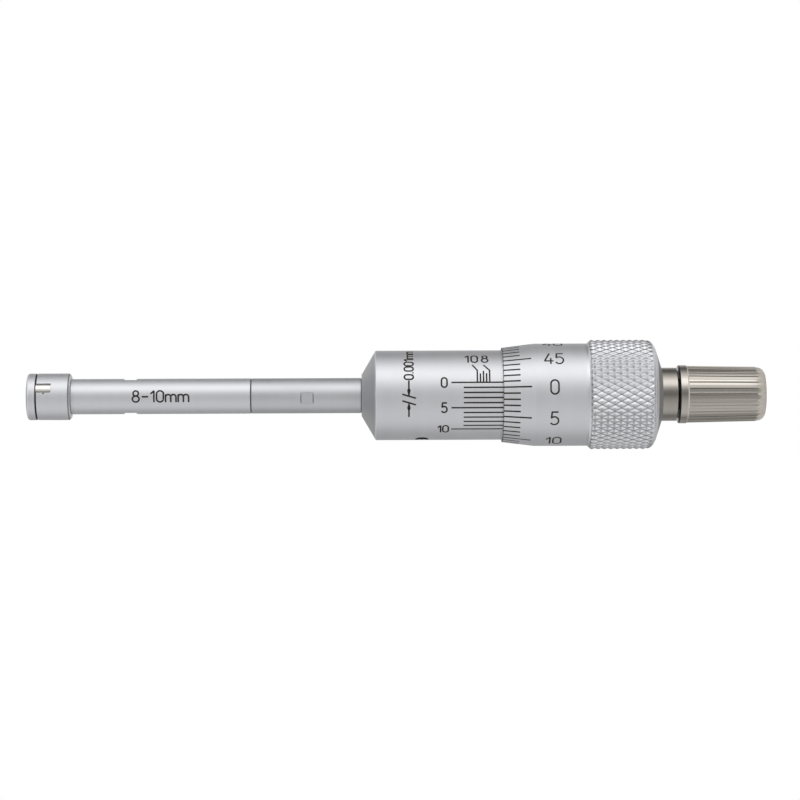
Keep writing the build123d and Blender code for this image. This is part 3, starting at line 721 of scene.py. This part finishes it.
def head_body():
    """Turned body with three slots. Where a slot lies, the side is laid flat at the slot's floor: the point
    moves to floor * d + x * t, with d the slot's direction, t the direction across it and x the distance
    across the slot. One side of each slot has a half-round notch: a point beside the slot moves away from
    it by sqrt(r * r - h * h), with h its height from the notch's middle, and less the further it lies from
    the slot."""
    low, high = span("head_body")
    rear = high - SLOT_LENGTH
    notch_low, notch_high, front = rear + 0.9, rear + 1.54, high - 0.2
    mouth, mouth_end, bore, rim = 2.75, low + 1.6, 2.2, HEAD_RADIUS - SEAM_DEPTH
    profile = np.vstack((
        rounded(
            (mouth, low, 0), (HEAD_RADIUS - 0.3, low, 0.08), (HEAD_RADIUS, low + 0.34, 0.08),
            (HEAD_RADIUS, rear, 0), segments=4,
        ),
        run((HEAD_RADIUS, rear + 0.01), (HEAD_RADIUS, notch_low), 3),
        run((HEAD_RADIUS, notch_low), (HEAD_RADIUS, notch_high), 13),
        run((HEAD_RADIUS, notch_high), (HEAD_RADIUS, front), 3),
        rounded(
            (HEAD_RADIUS, front, 0), (HEAD_RADIUS, high - SEAM_WIDTH, 0.03), (rim, high - SEAM_WIDTH, 0),
            (rim, high, 0),
        )[1:],
        [(bore, high), (bore, mouth_end), (mouth, mouth_end)],
    ))
    edge, margin = math.degrees(math.asin(SLOT_HALF / HEAD_RADIUS)), 8
    beside = np.linspace(0, margin, 9)
    between = np.linspace(edge + margin, 120 - edge - margin, 30)[1:-1]
    local = np.concatenate((
        np.linspace(-edge, edge, 13) * (1 - NEAR), -edge - beside, edge + beside, between,
    ))
    turns = np.concatenate([local + angle for angle in SLOT_ANGLES])
    turns = np.radians(np.sort(turns % 360))

    def shape(radius, height, turn):
        points = round_points(radius, height, turn)
        outer = radius > SLOT_FLOOR + 0.5
        notch = np.sqrt(np.clip(NOTCH_RADIUS**2 - (height - rear - NOTCH_PLACE) ** 2, 0, None))
        for angle in map(math.radians, SLOT_ANGLES):
            away = (turn - angle + math.pi) % FULL_TURN - math.pi
            facing = outer & (np.cos(away) > 0)
            across = HEAD_RADIUS * np.sin(away)
            beyond = -across - SLOT_HALF
            side = facing & (beyond > -2 * NEAR) & (beyond < NOTCH_REACH)
            across = across - np.where(side, notch * (1 - beyond / NOTCH_REACH), 0)
            inside = facing & ~side & (np.abs(across) < SLOT_HALF - TINY) & (height > rear + NEAR)
            x, y = math.cos(angle), math.sin(angle)
            flat = np.stack((SLOT_FLOOR * x - across * y, SLOT_FLOOR * y + across * x, height), axis=-1)
            moved = round_points(radius, height, angle + np.arcsin(np.clip(across / HEAD_RADIUS, -1, 1)))
            points = np.where(inside[..., None], flat, points)
            points = np.where((side & (notch > 0))[..., None], moved, points)
        return points

    piece = turned("head_shell", profile, turns, shape=shape, crease=30)
    # Painted shade along the front seam and on the rounded rear edge.
    front_seam_shade, rear_edge_shade = (high, SEAM_WIDTH - 0.02, 0.06), (low + 0.24, 0.13, 0.35)
    return fit(piece, "frame", "satin_chrome", "head_body", shaded_bands=[front_seam_shade, rear_edge_shade])


# Stem

STEM_RADIUS = 2.9
REAR_STEM_RADIUS = 2.89
STEM_BORE = 1.6
FLAT_LENGTH = 1.95
FLAT_DEPTH = 0.2
# From the middle of a tube's flats to the head or to the joint of the tubes.
FRONT_FLATS = 9.73
REAR_FLATS = 9.21
REAR_FLATS_ANGLE = -99.5


def stem(name, node, size, low, high, joint, middle, angle, finish):
    """A tube with bevelled ends and two opposite flats, along which the radius is at most
    (size - depth) / |cos(turn - angle)|. Joint is the height of the end that meets the other tube."""
    half, slope, bevel, end_length = FLAT_LENGTH / 2, 0.14, 0.12, 0.5
    profile = np.vstack((
        rounded(
            (STEM_BORE, low, 0), (size - bevel, low, 0.02), (size, low + bevel, 0.05),
            (size, low + end_length, 0), segments=4,
        ),
        [(size, middle - half - slope), (size, middle - half)],
        run((size, middle - half), (size, middle + half), 5),
        [(size, middle + half), (size, middle + half + slope)],
        rounded(
            (size, high - end_length, 0), (size, high - bevel, 0.05), (size - bevel, high, 0.02),
            (STEM_BORE, high, 0), segments=4,
        ),
    ))

    def shape(radius, height, turn):
        flat = (radius > size - 0.05) & (np.abs(height - middle) < half + TINY)
        level = (size - FLAT_DEPTH) / np.maximum(np.abs(np.cos(turn - math.radians(angle))), TINY)
        return round_points(np.where(flat, np.minimum(radius, level), radius), height, turn)

    def flat_end_shade(away, along):
        """Painted shade on the steps at both ends of the flats."""
        inset, sunk, left = 0.08, 0.03, 0.4
        past = (along - middle).math("ABSOLUTE") - (half - inset)
        return (size - sunk - away).math("MINIMUM", past), left

    piece = turned(name, profile, 360, shape=shape, crease=25)
    # Painted shade at both ends of the tube: dark where the tubes meet, faint at the other end.
    dark, faint = 0.12, 0.6
    shaded_bands = [(end, bevel + 0.02, dark if end == joint else faint) for end in (low, high)]
    return fit(piece, "frame", "satin_chrome", node, finish=finish, shaded_bands=shaded_bands, worn=flat_end_shade)


def range_mark():
    """The range with its unit, along the front tube."""
    sizes = bpy.context.scene.mic_scale
    text_length, middle, angle = 9.2, 99.0, -90
    strokes = lettering("8-10mm", sizes.stem_numeral / MM, width=text_length)
    engraved("range_mark", "frame", strokes, on_round(STEM_RADIUS, angle, middle), sizes.stroke / MM)


# Sleeve

SLEEVE_RADIUS = 7.35
NOSE_LENGTH = 2.31
SCREW_PLACE = 7.52
SCREW_ANGLE = -168
VERNIER_ZERO = -73.7
VERNIER_STEP = -6.48
MAIN_SCALE_START = 2.22
MAIN_SCALE_STEP = 0.5
UNIT_ANGLE = -80.0
UNIT_HEIGHT = 58.45


def sleeve():
    """Turned barrel with a conical nose and a round hole for the set screw. Inside the hole the surface
    sinks; points within a cell of its rim move onto the rim's circle."""
    low, high = span("sleeve")
    shoulder = high - NOSE_LENGTH
    middle, hole, hole_depth, cell, around = shoulder - SCREW_PLACE, 1.13, 1.1, 0.07, 1.3
    bore, mouth, step = 6.2, 2.6, high - 6
    profile = np.vstack((
        rounded((bore, low, 0), (SLEEVE_RADIUS, low, 0.2), (SLEEVE_RADIUS, low + 0.3, 0), segments=4),
        run((SLEEVE_RADIUS, low + 0.3), (SLEEVE_RADIUS, middle - around), 4),
        run((SLEEVE_RADIUS, middle - around), (SLEEVE_RADIUS, middle + around), 36),
        run((SLEEVE_RADIUS, middle + around), (SLEEVE_RADIUS, shoulder - 0.3), 2),
        rounded(
            (SLEEVE_RADIUS, shoulder - 0.3, 0), (SLEEVE_RADIUS, shoulder, 0.22), (3.4, high, 0.12),
            (mouth, high, 0), (mouth, step, 0), (bore, step, 0), segments=6,
        ),
    ))
    angle = math.radians(SCREW_ANGLE)

    def shape(radius, height, turn):
        away = (turn - angle + math.pi) % FULL_TURN - math.pi
        across, along = away * SLEEVE_RADIUS, height - middle
        reach = np.hypot(across, along)
        outer = radius > SLEEVE_RADIUS - 0.01
        inside = outer & (reach < hole)
        rim = outer & (np.abs(reach - hole) < cell)
        scale = np.where(rim, hole / np.maximum(reach, TINY), 1.0)
        turn = angle + across * scale / SLEEVE_RADIUS
        height = middle + along * scale
        return round_points(np.where(inside, radius - hole_depth, radius), height, turn)

    near = 11
    away = np.concatenate((np.linspace(-near, near, 44), np.linspace(near, 360 - near, 300)[1:-1]))
    turns = np.radians(np.sort((away + SCREW_ANGLE) % 360))
    piece = turned("sleeve_barrel", profile, turns, shape=shape, crease=40)
    # Painted shade on the nose cone; the finish also paints shade on the wall of the set screw's hole.
    nose_shade = (high - 0.95, 1.25, 0.71)
    return fit(piece, "frame", "satin_chrome", "sleeve", finish="sleeve_chrome", shaded_bands=[nose_shade])


def sleeve_scale():
    """The vernier, the main scale with its leaders, their numerals and the unit mark."""
    sizes = bpy.context.scene.mic_scale
    stroke, tall = sizes.stroke / MM, sizes.sleeve_numeral / MM
    place = on_round(SLEEVE_RADIUS, VERNIER_ZERO, span("thimble")[1])
    step = VERNIER_STEP * math.pi / 180 * SLEEVE_RADIUS
    long_line, short_line, covered = 8.4, 6.4, 1.5
    lines = []
    for k in range(11):
        reach = short_line if k % 5 else long_line
        lines.append(path((-reach, step * k), (covered, step * k)))
    for k, rise in enumerate((2.2, 1.55, 2.0, 1.55, 2.2)):
        x = -(MAIN_SCALE_START + MAIN_SCALE_STEP * k)
        lines.append(path((x, 0.0), (x, rise)))
    for k, lean in ((0, 0.95), (4, 0.75)):
        x = -(MAIN_SCALE_START + MAIN_SCALE_STEP * k)
        lines.append(path((x, 2.15), (x - lean, 3.2)))
    engraved("vernier_lines", "frame", lines, place, sizes.line / MM)
    numerals = []
    for text, x, count in (("0", -9.6, 0), ("5", -9.6, 5), ("10", -9.75, 10)):
        numerals += [s + (x, step * count) for s in lettering(text, tall)]
    for text, x in (("10", -5.12), ("8", -2.95)):
        numerals += [s + (x, 4.75) for s in lettering(text, tall * 1.12, gap=0.24)]
    engraved("sleeve_numerals", "frame", numerals, place, stroke)
    unit = [s + (4.92, 0.0) for s in lettering("0.001mm", 1.45)]
    shafts = [path((1.12, 0), (-1.3, 0)), path((-4.9, 0), (-2.8, 0))]
    slants = [path((-1.74, -1.08), (-1.12, 1.02)), path((-2.82, -1.08), (-2.19, 1.02))]
    heads = [
        path((-0.15, 0, 0.9), (-0.5, 0, 2.2), (-1.25, 0, 0.7)),
        path((-3.75, 0, 0.9), (-3.4, 0, 2.2), (-2.65, 0, 0.7)),
    ]
    place = on_round(SLEEVE_RADIUS, UNIT_ANGLE, UNIT_HEIGHT, upright=True)
    engraved("unit_mark", "frame", unit + shafts + slants + heads, place, stroke)


# Thimble

BARREL_RADIUS = 8.41
EDGE_RADIUS = 7.75
TAPER_LENGTH = 5.26
KNURL_RADIUS = 9.0
KNURL_MIDDLE = 6.9
KNURL_SHADE_DEPTH = 0.27
THIMBLE_ZERO = -80.7
THIMBLE_LINES = 50


def taper_radius(height):
    """The thimble's outer radius in front of the knurl."""
    front = span("thimble")[1]
    slope = (BARREL_RADIUS - EDGE_RADIUS) / TAPER_LENGTH
    return np.minimum(BARREL_RADIUS, EDGE_RADIUS + (front - height) * slope)


def thimble():
    """Turned thimble with a diamond knurl. With a and b the distances to the nearest groove of each hand,
    as shares of half a pitch, the knurl stands min(1, 1.12 * min(a, b)) times its depth above its valleys,
    and never above the turned blank."""
    grip = bpy.context.scene.mic_grip
    depth, pitch, count = grip.knurl_depth / MM, grip.knurl_pitch / MM, grip.knurl_count
    low, high = span("thimble")
    rear, front = low + 1.1, high - 14.1
    rows_to_pitch, crest = 12, 1.12
    heights = np.linspace(rear, front, round((front - rear) / pitch * rows_to_pitch))
    bends = (
        rear, low + 1.28, low + 1.45, low + 1.78, low + 2.11, low + 2.93, low + 3.3, front - 0.55, front
    )
    radii = (7.72, 8.0, 8.36, 8.67, 8.86, 8.97, 9.0, 9.0, 8.5)
    blank = np.column_stack((np.interp(heights, bends, radii), heights))
    hub, wall, floor = 4.43, 7.42, low + 3.5
    profile = np.vstack((
        rounded((hub, low + 0.5, 0), (4.44, low, 0.05), (7.72, rear, 0.0), segments=4),
        blank[1:-1],
        rounded(
            (*blank[-1], 0), (BARREL_RADIUS, front + 0.15, 0.1), (BARREL_RADIUS, high - TAPER_LENGTH, 0.8),
            (EDGE_RADIUS, high, 0.08), (wall, high, 0.04), (wall, floor, 0), (hub, floor, 0), segments=5,
        ),
    ))

    def shape(radius, height, turn):
        band = (height > rear + NEAR) & (height < front + NEAR) & (radius > 8.0)
        across, along = turn * count / FULL_TURN, height / pitch
        hands = [np.abs(((across + sign * along) % 1) * 2 - 1) for sign in (1, -1)]
        rise = np.minimum(1, np.minimum(*[1 - hand for hand in hands]) * crest)
        knurled = KNURL_RADIUS - depth + depth * rise
        return round_points(np.where(band, np.minimum(radius, knurled), radius), height, turn)

    piece = turned("thimble_shell", profile, 600, start=THIMBLE_ZERO, shape=shape, crease=50)
    # Painted shade on the rear cone face and along the front edge.
    rear_edge_shade, front_edge_shade = (low + 0.4, 0.6, 0.45), (high, 0.13, 0.35)
    return fit(
        piece, "thimble", "satin_chrome", "thimble", finish="knurled_chrome", shaded_bands=[rear_edge_shade, front_edge_shade]
    )


def thimble_scale():
    """Fifty lines, each fifth one longer, and the numerals."""
    sizes = bpy.context.scene.mic_scale
    front = span("thimble")[1]
    edge, begin, long_line, short_line = float(taper_radius(front)), 0.03, 4.5, 2.7
    lines, numerals = [], []
    for k in range(THIMBLE_LINES):
        y = k * FULL_TURN / THIMBLE_LINES * edge
        lines.append(path((begin, y), (short_line if k % 5 else long_line, y)))
    engraved("thimble_lines", "thimble", lines, on_round(taper_radius, THIMBLE_ZERO, front), sizes.line / MM)
    count = THIMBLE_LINES // 5
    for k in range(count):
        y = -k * FULL_TURN / count * BARREL_RADIUS
        numerals += [s + (0, y) for s in lettering(str(k * 5), sizes.thimble_numeral / MM)]
    place = on_round(BARREL_RADIUS, THIMBLE_ZERO - 0.6, front - 8.25)
    engraved("thimble_numerals", "thimble", numerals, place, sizes.stroke / MM)


# Ratchet

KNOB_SLOPE = 0.0202
KNOB_FOOT = 4.443
FLUTE_LIP = 0.06
FIRST_FLUTE = 3.9


def knob():
    """Turned knob with flutes. Across a flute the floor lies its full depth below the blank, and rises to the
    lips as the tenth power of the share of the half width; the ribs between the flutes have rounded edges."""
    grip = bpy.context.scene.mic_grip
    width, depth, count = grip.flute_width / MM, grip.flute_depth / MM, grip.flute_count
    low, high = span("ratchet_knob")
    rim = high - 1.5
    recess, recess_end, mouth, mouth_end = 2.1, low + 1.6, 2.65, high - 5
    profile = np.vstack((
        [(0, recess_end), (recess, recess_end)],
        rounded(
            (recess, recess_end, 0), (recess, low, 0.08), (3.58, low, 0.25), (4.06, low + 0.3, 0.5),
            (4.32, low + 0.72, 0.7), (4.47, low + 1.5, 1.2), (4.68, rim - 0.12, 0), segments=5,
        )[1:],
        [(4.68, rim - 0.11)],
        rounded(
            (4.68, rim - 0.06, 0), (4.7, rim, 0.02), (4.79, rim + 0.12, 0.1), (4.79, high, 0.3),
            (4.2, high, 0.05), (mouth, high - 0.05, 0), (mouth, mouth_end, 0), (0, mouth_end, 0), segments=5,
        ),
    ))

    def shape(radius, height, turn):
        turn_share = ((turn - math.radians(FIRST_FLUTE)) * count / FULL_TURN + 0.5) % 1 - 0.5
        across = np.abs(turn_share) * FULL_TURN / count * KNOB_FOOT / (width / 2)
        blank = KNOB_FOOT + (height - low) * KNOB_SLOPE
        lip = np.clip((across - 1) / FLUTE_LIP * width / 2, 0, 1)
        floor = blank - depth * (1 - across**10)
        rib = blank - FLUTE_LIP * (1 - lip) ** 2
        outer = (radius > 3.4) & (height > low + 0.05) & (height < rim - 0.1)
        level = np.where(across < 1, np.minimum(floor, blank - FLUTE_LIP), rib)
        return round_points(np.where(outer, np.minimum(radius, level), radius), height, turn)

    piece = turned("knob_shell", profile, 1000, closed=False, shape=shape, crease=40)
    # Painted shade along the knob's front edge.
    front_seam_shade = (high - 0.08, 0.2, 0.04)
    return fit(piece, "ratchet", "stainless", "ratchet_knob", finish="fluted", shaded_bands=[front_seam_shade])


def neck():
    """The neck's plain ring and journal, with a groove behind the ring that painted shade darkens."""
    low, high = span("ratchet_neck")
    journal, groove, ring = 2.6, 3.95, 4.38
    rear, gap = low + 11.29, 0.16
    profile = rounded(
        (0, low, 0), (journal, low, 0.05), (journal, rear, 0.0), (groove, rear, 0), (groove, rear + gap, 0),
        (ring, rear + gap, 0.04), (ring, high, 0.05), (0, high, 0), segments=4,
    )
    piece = turned("neck_ring", profile, closed=False)
    return fit(piece, "thimble", "stainless", "ratchet_neck", shaded_bands=[(rear, gap + 0.01, 0.05)])


# Stage

# Tones by bearing in degrees, at the height of the instrument and above and below it.
HORIZON_TONES = (
    (-180, 0.6), (-165, 0.34), (-150, 0.34), (-135, 0.38), (-120, 0.31), (-105, 0.27), (-90, 0.52),
    (-75, 0.65), (-60, 0.65), (-45, 0.6), (-30, 0.53), (-15, 0.39), (0, 0.24), (15, 0.32), (30, 0.73),
    (45, 1.56), (60, 1.64), (75, 1.1), (90, 0.66), (105, 0.3), (120, 0.13), (135, 0.2), (150, 0.5),
    (165, 0.6), (180, 0.6),
)
BOX_TONES = (
    (-180, 0.6), (-150, 0.5), (-120, 0.76), (-90, 0.92), (-60, 1.0), (-30, 1.04), (0, 1.07), (30, 1.07),
    (60, 1.0), (90, 0.93), (120, 0.86), (150, 0.72), (180, 0.6),
)
CEILING_TONE = 0.2
# The rise, as the sine of the height angle, over which the boxes take over, and then the ceiling.
BOX_RISE = (0.25, 0.6)
CEILING_RISE = (0.72, 0.95)
PICTURE = 800


def studio_tone(finish):
    """The tone of the studio round the instrument, by direction, and how far a direction faces the backdrop.

    Round the horizon the tone follows the bearing: white behind the instrument, a bright soft box on one side
    of the camera, a dimmer one on the other, and the darker room between them. Higher up and lower down it
    passes into two wide soft boxes on the camera's side, and from there into a plain ceiling."""
    x, y, z = finish.parts(finish.add("ShaderNodeTexCoord", output="Generated"))
    bearing = x.math("ARCTAN2", y * -1) / FULL_TURN + 0.5
    horizon, boxes = (
        finish.add(
            "ShaderNodeValToRGB",
            {"stops": [((angle + 180) / 360, tone) for angle, tone in tones]},
            {0: bearing},
        )
        for tones in (HORIZON_TONES, BOX_TONES)
    )
    rise, top = (
        finish.add(
            "ShaderNodeMapRange", {"interpolation_type": "SMOOTHSTEP"},
            {0: z.math("ABSOLUTE"), "From Min": low, "From Max": high},
        )
        for low, high in (BOX_RISE, CEILING_RISE)
    )
    behind = finish.add("ShaderNodeMapRange", None, {0: y, "From Min": 0.96, "From Max": 0.99})
    return finish.blend(top, finish.blend(rise, horizon, boxes), (CEILING_TONE,) * 3), behind


def make_world():
    """White behind the instrument; round it, the studio that its metal reflects."""
    world = bpy.data.worlds.new("studio")
    bpy.context.scene.world = world
    finish = Finish(world)
    tone, behind = studio_tone(finish)
    white = finish.ray("Glossy") * behind + finish.ray("Camera") + finish.ray("Transmission")
    colours = finish.blend(white.math("MINIMUM", 1.0), tone, (1, 1, 1))
    surface = finish.add("ShaderNodeBackground", None, {"Color": colours, "Strength": 1.0})
    finish.add("ShaderNodeOutputWorld", None, {"Surface": surface})


def make_floor():
    """A pale sheet at the knob's end face. It keeps the instrument's shadow."""
    half, cells = 10, 12
    side = np.linspace(-half, half, cells + 1)
    x, y = np.meshgrid(side, side, indexing="ij")
    points = np.stack((x, y, np.zeros_like(x)), axis=-1).reshape(-1, 3)
    i, j = np.meshgrid(np.arange(cells), np.arange(cells), indexing="ij")
    a = i * (cells + 1) + j
    faces = np.stack((a, a + cells + 1, a + cells + 2, a + 1), axis=-1).reshape(-1, 4)
    floor = add_mesh("floor", points, faces)
    material = bpy.data.materials.new("floor_paper")
    finish = Finish(material)
    shade = finish.blend(finish.noise(900), (0.79, 0.79, 0.79), (0.81, 0.81, 0.81))
    paper = finish.add("ShaderNodeBsdfPrincipled", None, {"Base Color": shade, "Roughness": 0.9})
    seen = sum(
        finish.ray(kind) * glow for kind, glow in (("Camera", 0.7), ("Glossy", 0.3), ("Transmission", 0.7))
    )
    glow = finish.add("ShaderNodeEmission", None, {"Color": (1, 1, 1), "Strength": seen})
    surface = finish.add("ShaderNodeAddShader", None, {0: paper, 1: glow})
    finish.add("ShaderNodeOutputMaterial", None, {"Surface": surface})
    floor.data.materials.append(material)
    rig.stage(floor)


def make_camera():
    """A long lens on the scales. The picture's right is the knob's end, so the camera lies on its side."""
    studio = bpy.context.scene.mic_studio
    data = bpy.data.cameras.new("camera")
    data.lens, data.sensor_width = studio.lens, 36.0
    data.shift_x, data.shift_y = 30 / PICTURE, -4.5 / PICTURE
    data.clip_start, data.clip_end = 0.01, 20
    camera = bpy.data.objects.new("camera", data)
    bpy.context.scene.collection.objects.link(camera)
    s, c = math.sin(studio.roll), math.cos(studio.roll)
    right, up, back = Vector((-s, 0, -c)), Vector((c, 0, -s)), Vector((0, -1, 0))
    turn = Matrix((right, up, back)).transposed().to_4x4()
    camera.matrix_world = Matrix.Translation((0, -studio.distance, studio.height)) @ turn
    bpy.context.scene.camera = camera


# Operators

class MIC_OT_stage(bpy.types.Operator):
    """Make the camera, floor and studio"""

    bl_idname = "mic.stage"
    bl_label = "Stage"

    def execute(self, context):
        context.scene.view_settings.view_transform = "Standard"
        make_camera()
        make_world()
        make_floor()
        return {"FINISHED"}


class MIC_OT_head(bpy.types.Operator):
    """Make the measuring head's slotted body"""

    bl_idname = "mic.head"
    bl_label = "Measuring head"

    def execute(self, context):
        head_body()
        return {"FINISHED"}


class MIC_OT_stem(bpy.types.Operator):
    """Make the two tubes and the range on the front one"""

    bl_idname = "mic.stem"
    bl_label = "Stem"

    def execute(self, context):
        rear, joint, front = span("sleeve")[1], span("front_tube")[0], span("head_body")[0]
        stem(
            "front_stem", "front_tube", STEM_RADIUS, joint, front, joint, front - FRONT_FLATS, 0.0,
            "satin_chrome",
        )
        stem(
            "rear_stem", "rear_tube", REAR_STEM_RADIUS, rear, joint, joint, joint - REAR_FLATS,
            REAR_FLATS_ANGLE, "stem_chrome",
        )
        range_mark()
        return {"FINISHED"}


class MIC_OT_sleeve(bpy.types.Operator):
    """Make the sleeve with its main scale, vernier and unit mark"""

    bl_idname = "mic.sleeve"
    bl_label = "Sleeve"

    def execute(self, context):
        sleeve()
        sleeve_scale()
        return {"FINISHED"}


class MIC_OT_thimble(bpy.types.Operator):
    """Make the knurled thimble with its scale"""

    bl_idname = "mic.thimble"
    bl_label = "Thimble"

    def execute(self, context):
        thimble()
        thimble_scale()
        return {"FINISHED"}


class MIC_OT_ratchet(bpy.types.Operator):
    """Make the ratchet's knob and neck"""

    bl_idname = "mic.ratchet"
    bl_label = "Ratchet"

    def execute(self, context):
        knob()
        neck()
        return {"FINISHED"}


class MIC_OT_carried(bpy.types.Operator):
    """Give the pieces that keep their CAD shape their finish, and let the springs shorten"""

    bl_idname = "mic.carried"
    bl_label = "Carried pieces"

    def execute(self, context):
        for entry in frame["record"]["subparts"]:
            node = frame["nodes"][entry["node"]]
            node.data.materials.clear()
            # Painted shade along the end cap's seam with the head.
            shaded_bands = [(span("end_cap")[0], 0.15, 0.06)] if entry["node"] == "end_cap" else ()
            node.data.materials.append(finish_of(entry["material_slot"], shaded_bands))
        low, high = span("rod_spring")
        springs = (
            ("rod_spring", "rod_slide", (0, 0, 1), high, 2.6, high - low),
            ("pawl_spring", "pawl_slide", (1, 0, 0), -1.6, 0.45, 1.4),
        )
        for name, joint, axis, fixed, travel, free_length in springs:
            fixed_end = [a * fixed * MM for a in axis]
            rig.squash(frame["nodes"][name], joint, axis, fixed_end, keep=1 - travel / free_length)
        return {"FINISHED"}


class MIC_PT_panel(bpy.types.Panel):
    """Sizes, colours and pieces of the micrometer"""

    bl_idname = "MIC_PT_panel"
    bl_label = "Inside micrometer"
    bl_space_type = "VIEW_3D"
    bl_region_type = "UI"
    bl_category = "Micrometer"

    def draw(self, context):
        for owner in (getattr(context.scene, name) for name in GROUPS):
            box = self.layout.box()
            for name in owner.__annotations__:
                box.prop(owner, name)
        for step in STEPS:
            self.layout.operator(step.bl_idname)


GROUPS = {
    "mic_scale": ScaleSizes,
    "mic_grip": GripSizes,
    "mic_finish": FinishColours,
    "mic_studio": StudioSizes,
}
STEPS = (
    MIC_OT_stage, MIC_OT_carried, MIC_OT_head, MIC_OT_stem, MIC_OT_sleeve, MIC_OT_thimble, MIC_OT_ratchet,
)


def register():
    for item in (*GROUPS.values(), *STEPS, MIC_PT_panel):
        bpy.utils.register_class(item)
    for name, group in GROUPS.items():
        setattr(bpy.types.Scene, name, PointerProperty(type=group))


def unregister():
    for name in GROUPS:
        delattr(bpy.types.Scene, name)
    for item in (MIC_PT_panel, *reversed(STEPS), *GROUPS.values()):
        bpy.utils.unregister_class(item)


def main():
    """Makes every piece in order and writes down the box of the frame and of the finished object."""
    register()
    for step in STEPS:
        family, action = step.bl_idname.split(".")
        getattr(getattr(bpy.ops, family), action)()
    boxes = {"cad": [list(c) for c in CAD_BOX], "visual": [list(c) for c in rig.bounds()]}
    with open("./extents.json", "w") as file:
        json.dump(boxes, file)


if __name__ == "__main__":
    main()
